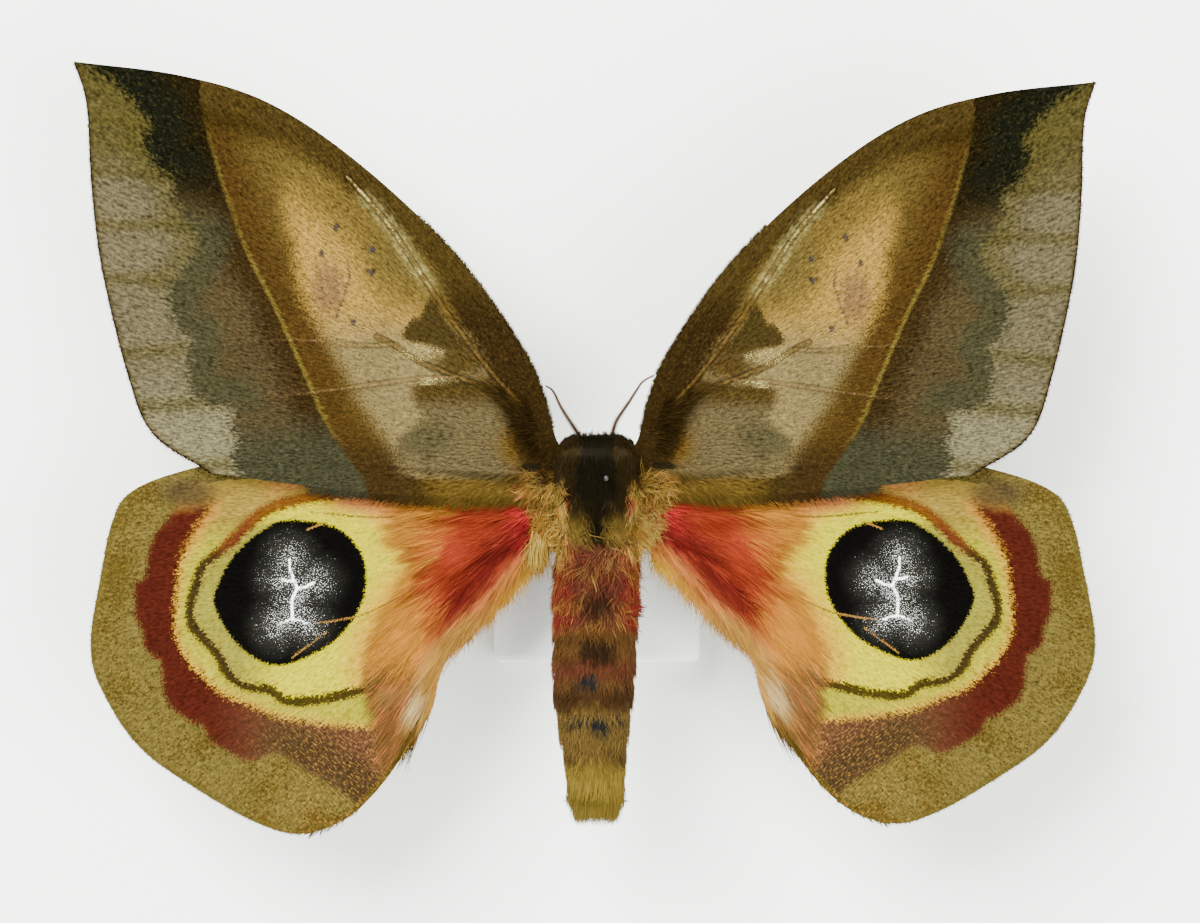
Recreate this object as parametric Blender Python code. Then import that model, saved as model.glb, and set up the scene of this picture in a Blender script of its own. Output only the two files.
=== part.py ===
"""A giant silk moth with an eyespot on each hindwing, pinned and set with its wings spread, life size.

+Y points to the head, +Z up from the wings, and -X is the moth's left side. The origin lies on the
underside of the foam block that the pin stands in. Sizes are in millimetres and become metres in the
meshes. Both wings of a pair share one outline, and the right one is set slightly differently.
"""

import math
import random

import bmesh
import bpy
import numpy as np
from mathutils import Vector
from mathutils.geometry import delaunay_2d_cdt

MM = 0.001
GAP = 0.3  # between neighbouring pieces

# Levels above the underside of the foam block
FOREWING_LEVEL = 20.3
HINDWING_LEVEL = 18.3
BASE_HEIGHT = 7.0
PIN_TOP = 31.5

# Foam block and pin
BASE_HALF_WIDTH = 13.0
BASE_FRONT = 5.0
BASE_REAR = -23.0
BASE_BEVEL = 0.8
PIN_PLACE = (1.1, 0.25)
PIN_RADIUS = 0.32
# Pin head: distance below the pin's top, radius
PIN_HEAD = [(0.9, PIN_RADIUS), (0.7, 0.5), (0.2, 0.5), (0.0, 0.25)]
PIN_SIDES = 12

# Body, front to rear: y, centre x, half width, underside, top
THORAX_STATIONS = [
    (5.4, 0.0, 3.8, 19.4, 21.8),
    (4.4, 0.0, 4.9, 17.6, 23.2),
    (1.6, 0.0, 5.5, 14.3, 24.4),
    (-2.2, 0.0, 5.7, 13.4, 24.2),
    (-6.3, 0.0, 5.0, 13.9, 22.9),
]
ABDOMEN_STATIONS = [
    (-6.6, 0.0, 4.6, 13.9, 22.7),
    (-12.0, 0.0, 4.7, 13.6, 22.4),
    (-24.0, -0.4, 4.8, 13.4, 22.0),
    (-30.0, -0.4, 4.0, 13.8, 21.6),
    (-36.0, -0.2, 3.3, 14.4, 20.8),
]
BRUSH_TIP = -41.4
BRUSH_CORE_TIP = -39.0
BRUSH_CORE_RINGS = (0.0, 0.45, 0.8, 0.96)
SEGMENTS = 7
SEGMENT_FLARE = 0.2
SEGMENT_RINGS = ((0.0, 0.0), (0.85, 1.0))  # share of the segment's length, share of the flare
SECTION_POWER = 2.3  # 2 is an ellipse, more is squarer
BODY_SIDES = 20

# Locks of the coat: flat, tapered, lying backwards over one another
LOCK_SINK = 0.9
LOCK_LIFT = 0.32
LOCK_THICKNESS = 0.5
# Along each lock: share of its length, of its width, of its thickness and of its lift
LOCK_PROFILE = [
    (-0.12, 0.7, 0.8, None),
    (0.4, 1.0, 1.0, 0.8),
    (0.78, 0.8, 0.9, 1.0),
    (1.0, 0.3, 0.4, 0.6),
]
LOCK_VARIATION = 0.15
LOCK_SEED = 23
ABDOMEN_LOCKS_ROUND = 9
ABDOMEN_LOCK_LENGTH = 3.8
ABDOMEN_LOCK_WIDTH = 3.5
ABDOMEN_LOCK_SWAY = 0.15
ABDOMEN_LOCK_START = 0.45  # share of the segment's length
FLANK_CLEAR_OF_WINGS = -11.5  # in front of this no lock stands on the flanks, beside the wing roots
FLANK_HALF_ANGLE = math.radians(38)
BRUSH_LOCKS = 12
BRUSH_INNER_LOCKS = 5
BRUSH_INNER_START = -38.0
BRUSH_LEAN = 0.12
BRUSH_LOCK_WIDTH = 2.3
BRUSH_LOCK_SWAY = 0.1
BRUSH_STAGGER = 0.9  # every second lock starts this much further back
BRUSH_UNEVEN = 0.8
BRUSH_INNER_UNEVEN = 0.3
BRUSH_INNER_TURN = 0.3  # share of the way from one inner lock to the next
# Rows of locks on the thorax: y, first and last angle in degrees, number, length, direction along y
THORAX_LOCK_ROWS = [
    (4.7, 68, 112, 3, 1.0, 1),
    (3.4, 70, 110, 3, 2.6, -1),
    (1.3, 68, 112, 3, 2.8, -1),
    (-0.9, 66, 114, 3, 2.8, -1),
    (-3.4, 22, 158, 9, 2.7, -1),
]
THORAX_LOCK_WIDTH = 2.3
THORAX_LOCK_SPREAD = 0.25
THORAX_LOCK_SWAY = 0.12

# Head, eyes, feelers and palps
HEAD_CENTRE = (0.1, 3.1, 17.0)
HEAD_RADII = (2.9, 2.8, 2.9)
EYE_CENTRE = (2.35, 3.9, 17.1)
EYE_RADIUS = 1.25
PALP_CENTRE = (0.75, 5.1, 14.9)
PALP_RADII = (0.5, 1.1, 0.6)
ANTENNA_RADIUS = 0.28
ANTENNA_TIP_RADIUS = 0.14
ANTENNA_LEFT = [(-1.5, 4.6, 18.2), (-2.4, 5.8, 19.0), (-3.4, 7.3, 19.7), (-4.4, 8.9, 20.3)]
ANTENNA_LEFT += [(-5.1, 10.4, 20.7), (-5.6, 11.1, 20.9), (-6.3, 11.5, 21.0)]
ANTENNA_RIGHT = [(1.6, 4.6, 18.2), (2.2, 6.8, 19.0), (3.0, 8.2, 19.7), (3.9, 9.5, 20.3)]
ANTENNA_RIGHT += [(4.8, 10.9, 20.7), (5.6, 12.0, 20.9), (7.0, 12.8, 21.0)]

# Shoulder flaps, as places on the thorax: along the body, and the angle round it
TEGULA_CENTRE_Y = 1.3
TEGULA_HALF_LENGTH = 3.3
TEGULA_ANGLE = math.radians(44)
TEGULA_HALF_ANGLE = math.radians(19)
TEGULA_THICKNESS = 0.9
TEGULA_RIM_SHARE = 0.5  # of the thickness, at the rim
TEGULA_SIDES = 14
TEGULA_LEVELS = (0.4, 0.75, 1.0)

# Legs of the right side, folded under the body: hip, knee, shin's end, foot's tip
LEG_RADIUS = 0.55
LEG_TIP_RADIUS = 0.27
LEGS = {
    "fore": [(1.5, 0.4, 16.0), (3.0, 1.6, 12.6), (1.8, 4.9, 11.4), (0.9, 1.4, 10.6)],
    "mid": [(2.2, -0.8, 16.0), (4.6, -0.6, 13.0), (3.0, 3.0, 11.3), (2.4, -1.6, 10.5)],
    "hind": [(2.2, -4.0, 16.0), (4.9, -4.4, 13.2), (3.4, -8.6, 11.6), (2.0, -12.2, 10.8)],
}

# Wings
WING_THICKNESS = 0.5
ROOT_THICKENING = 0.45
ROOT_THICKENING_REACH = 5.0
TIP_DROOP = 1.6
DROOP_START = 12.0
DROOP_END = 64.0
COSTA_RISE = 0.5
COSTA_REACH = 8.0
VEIN_HEIGHT = 0.34
VEIN_HALF_WIDTH = 0.75
VEIN_STEP = 6.0
VEIN_FADE = 2.0  # from the edge inwards
VEIN_UNDER_SHARE = 0.5  # of its height, on the underside
VEIN_FOOT_CLEARANCE = 0.9  # of its half width, from every crest
EDGE_CLEARANCE = 0.7
EDGE_STEP = 3.0
FILL_STEP = 8.0
FILL_CLEARANCE = 4.0
# Outline corners: runs of points between the wing's corners, each run drawn as one smooth curve
FOREWING_RUNS = [
    [(5.1, 5.4), (6.7, 11.0), (9.3, 16.5), (17.4, 27.7), (29.1, 38.7), (40.0, 46.0), (50.8, 49.4)]
    + [(64.0, 51.2)],
    [(64.0, 51.2), (62.5, 46.0), (61.9, 36.0), (60.6, 25.7), (57.4, 12.8), (54.3, 5.6), (47.3, 0.9)],
    [(47.3, 0.9), (36.3, -0.6), (24.0, -1.9), (13.0, -2.2), (6.3, -1.6)],
]
HINDWING_RUNS = [
    [(6.3, -2.6), (14.0, 1.6), (28.0, 3.6), (42.0, 2.9), (52.0, 0.8), (57.6, -1.7)]
    + [(59.7, -5.4), (60.9, -11.0), (62.3, -20.0), (61.0, -25.7), (56.1, -33.0), (48.3, -38.5)]
    + [(41.5, -42.2), (36.3, -43.4), (30.4, -41.3), (25.2, -35.8), (21.6, -29.2), (18.8, -21.6)]
    + [(13.4, -16.2), (6.6, -9.0)],
]
FOREWING_VEINS = {
    "subcosta": [(7.0, 6.4), (12.4, 19.0), (24.0, 32.2), (35.0, 41.7), (44.0, 46.6)],
    "radius": [(7.0, 5.0), (13.2, 13.7), (17.6, 19.4), (22.4, 27.2), (28.1, 33.7), (41.0, 43.0)]
    + [(52.0, 47.4), (61.5, 49.9)],
    "radial sector": [(28.1, 33.7), (42.0, 39.7), (52.0, 42.6), (61.8, 44.4)],
    "media 1": [(28.1, 33.7), (43.0, 36.6), (61.4, 37.8)],
    "media 2": [(26.9, 26.6), (43.0, 30.8), (61.0, 31.2)],
    "media 3": [(26.4, 20.6), (41.0, 23.9), (59.9, 24.6)],
    "cell end": [(28.1, 33.7), (26.9, 26.6), (26.4, 20.6), (23.7, 15.9)],
    "cubitus": [(7.0, 4.2), (13.2, 11.5), (19.3, 13.7), (23.7, 15.9), (37.6, 17.0), (57.6, 15.5)],
    "cubitus 2": [(13.2, 11.5), (25.4, 11.5), (35.1, 10.6), (55.4, 8.9)],
    "anal": [(7.0, 0.6), (22.0, 1.6), (35.0, 2.4), (47.6, 1.9)],
}
HINDWING_VEINS = {
    "subcosta": [(7.2, -3.6), (20.0, 0.6), (40.0, 0.6), (53.5, -1.2)],
    "radial sector": [(7.2, -4.6), (20.0, -3.9), (38.0, -3.4), (59.4, -7.6)],
    "media 1": [(20.0, -3.9), (38.0, -8.4), (60.1, -13.6)],
    "media 2": [(19.4, -9.2), (38.0, -14.8), (61.4, -20.4)],
    "cell end": [(20.0, -3.9), (19.4, -9.2), (16.8, -10.2)],
    "cubitus": [(7.2, -5.8), (16.8, -10.2), (29.0, -17.0), (38.1, -21.8), (59.6, -26.4)],
    "cubitus 2": [(16.8, -10.2), (33.0, -24.0), (53.0, -34.2)],
    "cubitus 3": [(12.0, -8.0), (26.0, -24.0), (44.6, -39.6)],
    "anal": [(7.2, -7.2), (19.0, -21.0), (29.0, -33.4), (35.4, -42.2)],
}
# Hair along a wing's edge near the body: which run of its outline, the first and last share of that run's
# length, how many locks, their length and their direction
FOREWING_FRINGE = {"run": 2, "from": 0.42, "to": 0.93, "count": 9, "length": 3.2, "lean": (0.8, -0.65)}
HINDWING_FRINGE = {"run": 0, "from": 0.82, "to": 0.95, "count": 10, "length": 3.7, "lean": (0.25, -1.0)}
FRINGE_WIDTH = 2.9
FRINGE_ROOT = 1.6
FRINGE_RISE = 0.13
FRINGE_STEP = 0.5
FRINGE_SWAY = 0.15
FRINGE_ROOT_BACK = 0.3
FRINGE_ROOT_THINNING = 0.6
# How the outline is set on each side, about the wing's root
SET_LEFT = ((1.0, 0.0), (0.0, 1.0))
FOREWING_SET_RIGHT = ((0.966, -0.023), (-0.011, 0.958))
HINDWING_SET_RIGHT = ((0.977, -0.015), (-0.001, 0.969))
FOREWING_ROOT = (5.6, 7.0)
HINDWING_ROOT = (6.2, -1.5)
ROOT_SIDE = 5.6
FOREWING_ROOT_LINE = [(4.0, -1.6), (4.0, 3.4)]
HINDWING_ROOT_LINE = [(4.0, -9.6), (4.0, -2.6)]

# Finish of each material: colour, roughness
FINISHES = {
    "dark_fur": ((0.035, 0.022, 0.012), 0.9),
    "brown_fur": ((0.075, 0.045, 0.02), 0.9),
    "tan_fur": ((0.36, 0.22, 0.10), 0.9),
    "forewing_scales": ((0.20, 0.13, 0.07), 0.75),
    "hindwing_scales": ((0.42, 0.30, 0.13), 0.75),
    "eye": ((0.012, 0.009, 0.008), 0.2),
    "horn": ((0.09, 0.05, 0.025), 0.5),
    "foam": ((0.86, 0.86, 0.84), 0.9),
    "steel": ((0.62, 0.62, 0.62), 0.3),
}


def clear_scene():
    for obj in list(bpy.data.objects):
        bpy.data.objects.remove(obj, do_unlink=True)


def material(name):
    found = bpy.data.materials.get(name)
    if found:
        return found
    colour, roughness = FINISHES[name]
    found = bpy.data.materials.new(name)
    found.use_nodes = True
    shader = found.node_tree.nodes["Principled BSDF"]
    shader.inputs["Base Color"].default_value = (*colour, 1.0)
    shader.inputs["Roughness"].default_value = roughness
    shader.inputs["Metallic"].default_value = 1.0 if name == "steel" else 0.0
    return found


def mesh_object(name, points, faces, finish):
    """A named object from points in millimetres and faces as tuples of their indices."""
    mesh = bpy.data.meshes.new(name)
    mesh.from_pydata([tuple(float(v) * MM for v in p) for p in points], [], faces)
    shaped = bmesh.new()
    shaped.from_mesh(mesh)
    bmesh.ops.recalc_face_normals(shaped, faces=shaped.faces)
    shaped.to_mesh(mesh)
    shaped.free()
    mesh.shade_smooth()
    mesh.set_sharp_from_angle(angle=math.radians(50))
    obj = bpy.data.objects.new(name, mesh)
    bpy.context.scene.collection.objects.link(obj)
    obj.data.materials.append(material(finish))
    return obj


def hide_cutter(obj):
    obj.hide_render = True
    obj.display_type = "WIRE"


def cut(obj, cutter):
    """Takes the cutter's space away from the object."""
    step = obj.modifiers.new("cut by " + cutter.name, "BOOLEAN")
    step.operation = "DIFFERENCE"
    step.solver = "EXACT"
    step.object = cutter


def smooth(points, steps):
    """Points on a Catmull-Rom curve through the given ones, with so many steps from each to the next."""
    p = np.array(points, float)
    p = np.vstack([2 * p[0] - p[1], p, 2 * p[-1] - p[-2]])
    t = np.linspace(0, 1, steps, endpoint=False)[:, None]
    runs = []
    for a, b, c, d in zip(p, p[1:], p[2:], p[3:]):
        runs.append(0.5 * (2 * b + (c - a) * t + (2 * a - 5 * b + 4 * c - d) * t**2
                           + (3 * b - 3 * c + d - a) * t**3))
    return np.vstack(runs + [p[-2:-1]])


def spaced(path, step):
    """The same path with its points an equal distance apart, close to the step."""
    ends = np.r_[0, np.cumsum(np.linalg.norm(np.diff(path, axis=0), axis=1))]
    count = max(1, round(ends[-1] / step))
    at = np.linspace(0, ends[-1], count + 1)
    return np.column_stack([np.interp(at, ends, path[:, k]) for k in range(path.shape[1])])


# Closed forms

def ring_solid(name, rings, finish):
    """A closed tube through rings of points, each end closed by a fan to the middle of its ring."""
    sides = len(rings[0])
    points = [p for ring in rings for p in ring]
    faces = []
    for r in range(len(rings) - 1):
        for s in range(sides):
            a, b = r * sides + s, r * sides + (s + 1) % sides
            faces += [(a, b, b + sides), (a, b + sides, a + sides)]
    for first in (0, (len(rings) - 1) * sides):
        middle = len(points)
        points.append(np.mean(points[first:first + sides], axis=0))
        faces += [(first + s, first + (s + 1) % sides, middle) for s in range(sides)]
    return mesh_object(name, points, faces, finish)


def tube(name, path, radii, sides, finish):
    """A round tube along the path. Each ring lies square to the path there."""
    path = np.array(path, float)
    along = np.gradient(path, axis=0)
    rings = []
    side = np.cross(along[0], (0.3, 0.2, 1.0))
    for centre, direction, radius in zip(path, along, radii):
        direction = direction / np.linalg.norm(direction)
        side = side - direction * np.dot(side, direction)
        side /= np.linalg.norm(side)
        up = np.cross(direction, side)
        turns = 2 * math.pi * np.arange(sides) / sides
        rings.append([centre + radius * (side * math.cos(a) + up * math.sin(a)) for a in turns])
    return ring_solid(name, rings, finish)


def ellipsoid(name, centre, radii, finish, segments=16, rings=10, grow=0.0):
    shaped = bmesh.new()
    bmesh.ops.create_uvsphere(shaped, u_segments=segments, v_segments=rings, radius=1.0)
    size = [r + grow for r in radii]
    points = [[c + s * v for c, s, v in zip(centre, size, vert.co)] for vert in shaped.verts]
    faces = [tuple(vert.index for vert in face.verts) for face in shaped.faces]
    shaped.free()
    return mesh_object(name, points, faces, finish)


# Locks

def lock(name, base, along, outward, length, width, finish):
    """A flat lock that starts under the surface at its base and lies along it, a little raised."""
    across = np.cross(along, outward)
    rings = []
    for at, wide, thick, lift in LOCK_PROFILE:
        rise = -LOCK_SINK if lift is None else LOCK_LIFT * lift
        centre = base + along * at * length + outward * rise
        half_wide, half_thick = across * width * wide / 2, outward * LOCK_THICKNESS * thick / 2
        rings.append([centre + half_wide, centre + half_thick, centre - half_wide,
                      centre - half_thick])
    return ring_solid(name, rings, finish)


def keep_largest(obj):
    """Drops all but the largest closed surface of the mesh."""
    shaped = bmesh.new()
    shaped.from_mesh(obj.data)
    left = set(shaped.verts)
    groups = []
    while left:
        front, group = [left.pop()], []
        while front:
            vert = front.pop()
            group.append(vert)
            for edge in vert.link_edges:
                other = edge.other_vert(vert)
                if other in left:
                    left.remove(other)
                    front.append(other)
        groups.append(group)
    groups.sort(key=len)
    bmesh.ops.delete(shaped, geom=[vert for group in groups[:-1] for vert in group], context="VERTS")
    shaped.to_mesh(obj.data)
    shaped.free()


def fuse(body, pieces):
    """Joins the pieces to the body in one union and removes them."""
    group = bpy.data.collections.new(body.name + " locks")
    bpy.context.scene.collection.children.link(group)
    for piece in pieces:
        bpy.context.scene.collection.objects.unlink(piece)
        group.objects.link(piece)
    step = body.modifiers.new("locks", "BOOLEAN")
    step.operation = "UNION"
    step.solver = "EXACT"
    step.operand_type = "COLLECTION"
    step.collection = group
    bpy.context.view_layer.objects.active = body
    bpy.ops.object.modifier_apply(modifier=step.name)
    for piece in pieces:
        bpy.data.objects.remove(piece, do_unlink=True)
    bpy.data.collections.remove(group)
    keep_largest(body)


def body_lock(station, angle, length, width, heading, sway, finish, lean=0.0):
    """A lock on the body's surface at a station, along the body, swung sideways and leant inwards."""
    base = np.array(section_point(station, angle))
    outward = np.array(section_point(station, angle, 1.0)) - base
    outward /= np.linalg.norm(outward)
    aside = np.cross((0.0, heading, 0.0), outward)
    along = np.array((0.0, heading, 0.0)) * math.cos(sway) + aside * math.sin(sway)
    leant = along * math.cos(lean) - outward * math.sin(lean)
    upright = outward * math.cos(lean) + along * math.sin(lean)
    return lock("lock", base, leant, upright, length, width, finish)


# Body

def section_point(station, angle, out=0.0):
    """A point on the body's outline at a station. The angle runs from the right side up over the top."""
    y, centre, half_width, low, high = station
    power = 2 / SECTION_POWER
    c, s = math.cos(angle), math.sin(angle)
    x = math.copysign(abs(c) ** power, c) * (half_width + out)
    z = math.copysign(abs(s) ** power, s) * ((high - low) / 2 + out)
    return (centre + x, y, (low + high) / 2 + z)


def body_rings(stations, out=0.0):
    """Rings of points at the stations, grown outwards and past both ends by the same amount."""
    turns = 2 * math.pi * np.arange(BODY_SIDES) / BODY_SIDES
    rows = [list(row) for row in stations]
    rows[0][0] += out
    rows[-1][0] -= out
    return [[section_point(row, a, out) for a in turns] for row in rows]


def thorax_stations():
    return smooth(THORAX_STATIONS, 3)


def thorax_station(y):
    rows = thorax_stations()[::-1]
    return [np.interp(y, rows[:, 0], rows[:, k]) for k in range(5)]


def abdomen_stations():
    """Rings along the abdomen. Each segment flares towards its rear edge and the next starts inside it."""
    rows = smooth(ABDOMEN_STATIONS, 8)[::-1]
    front, rear = rows[-1, 0], rows[0, 0]
    stations = []
    for segment in range(SEGMENTS):
        for part, flare in SEGMENT_RINGS:
            y = front + (rear - front) * (segment + part) / SEGMENTS
            row = [np.interp(y, rows[:, 0], rows[:, k]) for k in range(5)]
            spread = SEGMENT_FLARE * flare
            stations.append([y, row[1], row[2] + spread, row[3] - spread, row[4] + spread])
    return stations


def brush_stations():
    """The core of the brush at the abdomen's tip narrows along a rounded curve."""
    y, centre, half_width, low, high = ABDOMEN_STATIONS[-1]
    middle, half_height = (low + high) / 2, (high - low) / 2
    stations = []
    for part in BRUSH_CORE_RINGS:
        size = math.sqrt(1 - part**2)
        stations.append([y + (BRUSH_CORE_TIP - y) * part, centre, half_width * size,
                         middle - half_height * size, middle + half_height * size])
    return stations


def varied(draw, size):
    return size * (1 + draw.uniform(-LOCK_VARIATION, LOCK_VARIATION))


def make_thorax():
    thorax = ring_solid("thorax", body_rings(thorax_stations()), "dark_fur")
    draw = random.Random(LOCK_SEED)
    locks = []
    for y, first, last, count, length, heading in THORAX_LOCK_ROWS:
        for angle in np.radians(np.linspace(first, last, count)):
            sway = THORAX_LOCK_SPREAD * math.cos(angle) + draw.uniform(-THORAX_LOCK_SWAY, THORAX_LOCK_SWAY)
            locks.append(body_lock(thorax_station(y), angle, varied(draw, length),
                                   THORAX_LOCK_WIDTH, heading, -sway * heading, "dark_fur"))
    fuse(thorax, locks)


def make_thorax_room():
    room = ring_solid("thorax_room", body_rings(thorax_stations(), GAP), "dark_fur")
    hide_cutter(room)
    return room


def abdomen_station(y):
    rows = np.array(abdomen_stations() + brush_stations())[::-1]
    return [np.interp(y, rows[:, 0], rows[:, k]) for k in range(5)]


def make_abdomen():
    """The rings of the abdomen, a row of locks over each segment's rear edge, and the brush."""
    abdomen = ring_solid("abdomen", body_rings(abdomen_stations() + brush_stations()), "tan_fur")
    draw = random.Random(LOCK_SEED + 1)
    front, rear = ABDOMEN_STATIONS[0][0], ABDOMEN_STATIONS[-1][0]
    locks = []
    for segment in range(SEGMENTS - 1):
        y = front + (rear - front) * (segment + ABDOMEN_LOCK_START) / SEGMENTS
        for k in range(ABDOMEN_LOCKS_ROUND):
            angle = 2 * math.pi * (k + 0.5 * (segment % 2)) / ABDOMEN_LOCKS_ROUND
            is_flank = abs(math.sin(angle)) < math.sin(FLANK_HALF_ANGLE)
            if y - ABDOMEN_LOCK_LENGTH < FLANK_CLEAR_OF_WINGS or not is_flank:
                length = varied(draw, ABDOMEN_LOCK_LENGTH)
                sway = draw.uniform(-ABDOMEN_LOCK_SWAY, ABDOMEN_LOCK_SWAY)
                locks.append(body_lock(abdomen_station(y), angle, length, ABDOMEN_LOCK_WIDTH, -1,
                                       sway, "tan_fur"))
    for k in range(BRUSH_LOCKS):
        angle = 2 * math.pi * k / BRUSH_LOCKS
        y = rear - BRUSH_STAGGER * (k % 2)
        length = y - BRUSH_TIP - draw.uniform(0.0, BRUSH_UNEVEN)
        sway = draw.uniform(-BRUSH_LOCK_SWAY, BRUSH_LOCK_SWAY)
        locks.append(body_lock(abdomen_station(y), angle, length, BRUSH_LOCK_WIDTH, -1, sway,
                               "tan_fur", BRUSH_LEAN))
    for k in range(BRUSH_INNER_LOCKS):
        angle = 2 * math.pi * (k + BRUSH_INNER_TURN) / BRUSH_INNER_LOCKS
        length = BRUSH_INNER_START - BRUSH_TIP - draw.uniform(0.0, BRUSH_INNER_UNEVEN)
        locks.append(body_lock(abdomen_station(BRUSH_INNER_START), angle, length, BRUSH_LOCK_WIDTH,
                               -1, 0.0, "tan_fur", BRUSH_LEAN))
    fuse(abdomen, locks)


def make_abdomen_room():
    rings = body_rings(abdomen_stations() + brush_stations(), GAP)
    room = ring_solid("abdomen_room", rings, "tan_fur")
    hide_cutter(room)
    return room


def make_tegula(side):
    """A flap that lies along the shoulder: its lower face follows the thorax, its upper face bulges."""
    sides = TEGULA_SIDES
    faces, points = [], []
    for top in (False, True):
        for level in (0.0,) + TEGULA_LEVELS:
            for k in range(sides if level else 1):
                turn = 2 * math.pi * k / sides
                y = TEGULA_CENTRE_Y + level * TEGULA_HALF_LENGTH * math.cos(turn)
                angle = TEGULA_ANGLE + level * TEGULA_HALF_ANGLE * math.sin(turn)
                bulge = TEGULA_THICKNESS * (1 - TEGULA_RIM_SHARE * level**2) if top else 0.0
                x, y, z = section_point(thorax_station(y), angle, GAP + bulge)
                points.append((side * x, y, z))
    half = len(points) // 2
    for start in (0, half):
        faces += [(start, start + 1 + k, start + 1 + (k + 1) % sides) for k in range(sides)]
        for ring in range(len(TEGULA_LEVELS) - 1):
            low = start + 1 + ring * sides
            for k in range(sides):
                a, b = low + k, low + (k + 1) % sides
                faces += [(a, b, b + sides), (a, b + sides, a + sides)]
    rim = half - sides
    for k in range(sides):
        a, b = rim + k, rim + (k + 1) % sides
        faces += [(a, b, b + half), (a, b + half, a + half)]
    return mesh_object("tegula_" + side_name(side), points, faces, "brown_fur")


def side_name(side):
    return "left" if side < 0 else "right"


def make_head(thorax_room):
    head = ellipsoid("head", HEAD_CENTRE, HEAD_RADII, "dark_fur")
    head_room = ellipsoid("head_room", HEAD_CENTRE, HEAD_RADII, "dark_fur", grow=GAP)
    hide_cutter(head_room)
    cut(head, thorax_room)
    for side in (-1, 1):
        centre = (HEAD_CENTRE[0] + side * EYE_CENTRE[0], *EYE_CENTRE[1:])
        size = (EYE_RADIUS,) * 3
        eye = ellipsoid("eye_" + side_name(side), centre, size, "eye", 12, 8)
        cut(eye, thorax_room)
        eye_room = ellipsoid("eye_room_" + side_name(side), centre, size, "eye", 12, 8, GAP)
        hide_cutter(eye_room)
        cut(head, eye_room)
        place = (HEAD_CENTRE[0] + side * PALP_CENTRE[0], *PALP_CENTRE[1:])
        palp = ellipsoid("palp_" + side_name(side), place, PALP_RADII, "dark_fur", 10, 8)
        cut(palp, head_room)
    return head_room


def make_antennae(head_room, thorax_room):
    for name, route in (("left", ANTENNA_LEFT), ("right", ANTENNA_RIGHT)):
        path = smooth(route, 2)
        radii = np.linspace(ANTENNA_RADIUS, ANTENNA_TIP_RADIUS, len(path))
        antenna = tube("antenna_" + name, path, radii, 8, "horn")
        cut(antenna, head_room)
        cut(antenna, thorax_room)


def make_legs(thorax_room):
    for name, joints in LEGS.items():
        for side in (-1, 1):
            path = smooth([(side * x, y, z) for x, y, z in joints], 4)
            radii = np.linspace(LEG_RADIUS, LEG_TIP_RADIUS, len(path))
            leg = tube(f"{name}leg_{side_name(side)}", path, radii, 7, "brown_fur")
            cut(leg, thorax_room)


# Wings

def posed(points, pose, root):
    """The outline set on its side: turned and stretched about the root."""
    return (np.array(points, float) - root) @ np.array(pose).T + root


def inside(point, outline):
    """Whether the point lies within the closed outline, by counting the edges to its right."""
    x, y = point
    nxt = np.roll(outline, -1, axis=0)
    crosses = (outline[:, 1] > y) != (nxt[:, 1] > y)
    a, b = outline[crosses], nxt[crosses]
    return np.sum(a[:, 0] + (y - a[:, 1]) / (b[:, 1] - a[:, 1]) * (b[:, 0] - a[:, 0]) > x) % 2 == 1


def nearest(point, others):
    return np.min(np.linalg.norm(others - point, axis=1))


def wing_outline(runs, root_line, pose, root):
    """The wing's edge from the root's front corner round to its rear corner, then within the body."""
    edge = [spaced(smooth(posed(run, pose, root), 8), EDGE_STEP) for run in runs]
    return np.vstack([run[:-1] for run in edge] + [edge[-1][-1:], root_line])


def wing_plan(outline, veins):
    """The flat net of the wing: edge, vein crests as fixed lines, their feet and a few points between."""
    crests, lines = [], []
    feet = []
    for path in veins:
        path = spaced(smooth(path, 8), VEIN_STEP)
        along = np.gradient(path, axis=0)
        along /= np.linalg.norm(along, axis=1)[:, None]
        across = np.column_stack([-along[:, 1], along[:, 0]])
        lines.append(path)
        crests.append(path)
        feet += [path + VEIN_HALF_WIDTH * across, path - VEIN_HALF_WIDTH * across]
    crests, feet = np.vstack(crests), np.vstack(feet)
    dense_crests = np.vstack([spaced(line, VEIN_HALF_WIDTH / 2) for line in lines])
    keep = [p for p in feet if inside(p, outline)
            and nearest(p, dense_crests) > VEIN_FOOT_CLEARANCE * VEIN_HALF_WIDTH
            and nearest(p, outline) > EDGE_CLEARANCE]
    loose = []
    taken = np.vstack([outline, crests])
    low, high = outline.min(axis=0), outline.max(axis=0)
    for row, y in enumerate(np.arange(low[1], high[1], FILL_STEP)):
        for x in np.arange(low[0] + (row % 2) * FILL_STEP / 2, high[0], FILL_STEP):
            if inside((x, y), outline) and nearest((x, y), taken) > FILL_CLEARANCE:
                loose.append((x, y))
    points = [tuple(p) for p in outline]
    count = len(points)
    edges = [(k, (k + 1) % count) for k in range(count)]
    for line in lines:
        start = len(points)
        points += [tuple(p) for p in line]
        edges += [(start + k, start + k + 1) for k in range(len(line) - 1)]
    points += [tuple(p) for p in keep] + loose
    vectors = [Vector(p) for p in points]
    found, _, faces, *_ = delaunay_2d_cdt(vectors, edges, [list(range(count))], 1, 0.05)
    return np.array([tuple(p) for p in found]), [tuple(f) for f in faces], dense_crests


def camber(points, costa):
    """Height of the wing's middle over its level: it droops outwards and rises to its front edge."""
    out = np.clip((points[:, 0] - DROOP_START) / (DROOP_END - DROOP_START), 0, None)
    height = -TIP_DROOP * out**2
    if costa is not None:
        near = np.array([nearest(p, costa) for p in points])
        height += COSTA_RISE * np.clip(1 - near / COSTA_REACH, 0, 1) ** 2
    return height


def turned(way, angle):
    c, s = math.cos(angle), math.sin(angle)
    return np.array([way[0] * c - way[1] * s, way[0] * s + way[1] * c])


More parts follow.
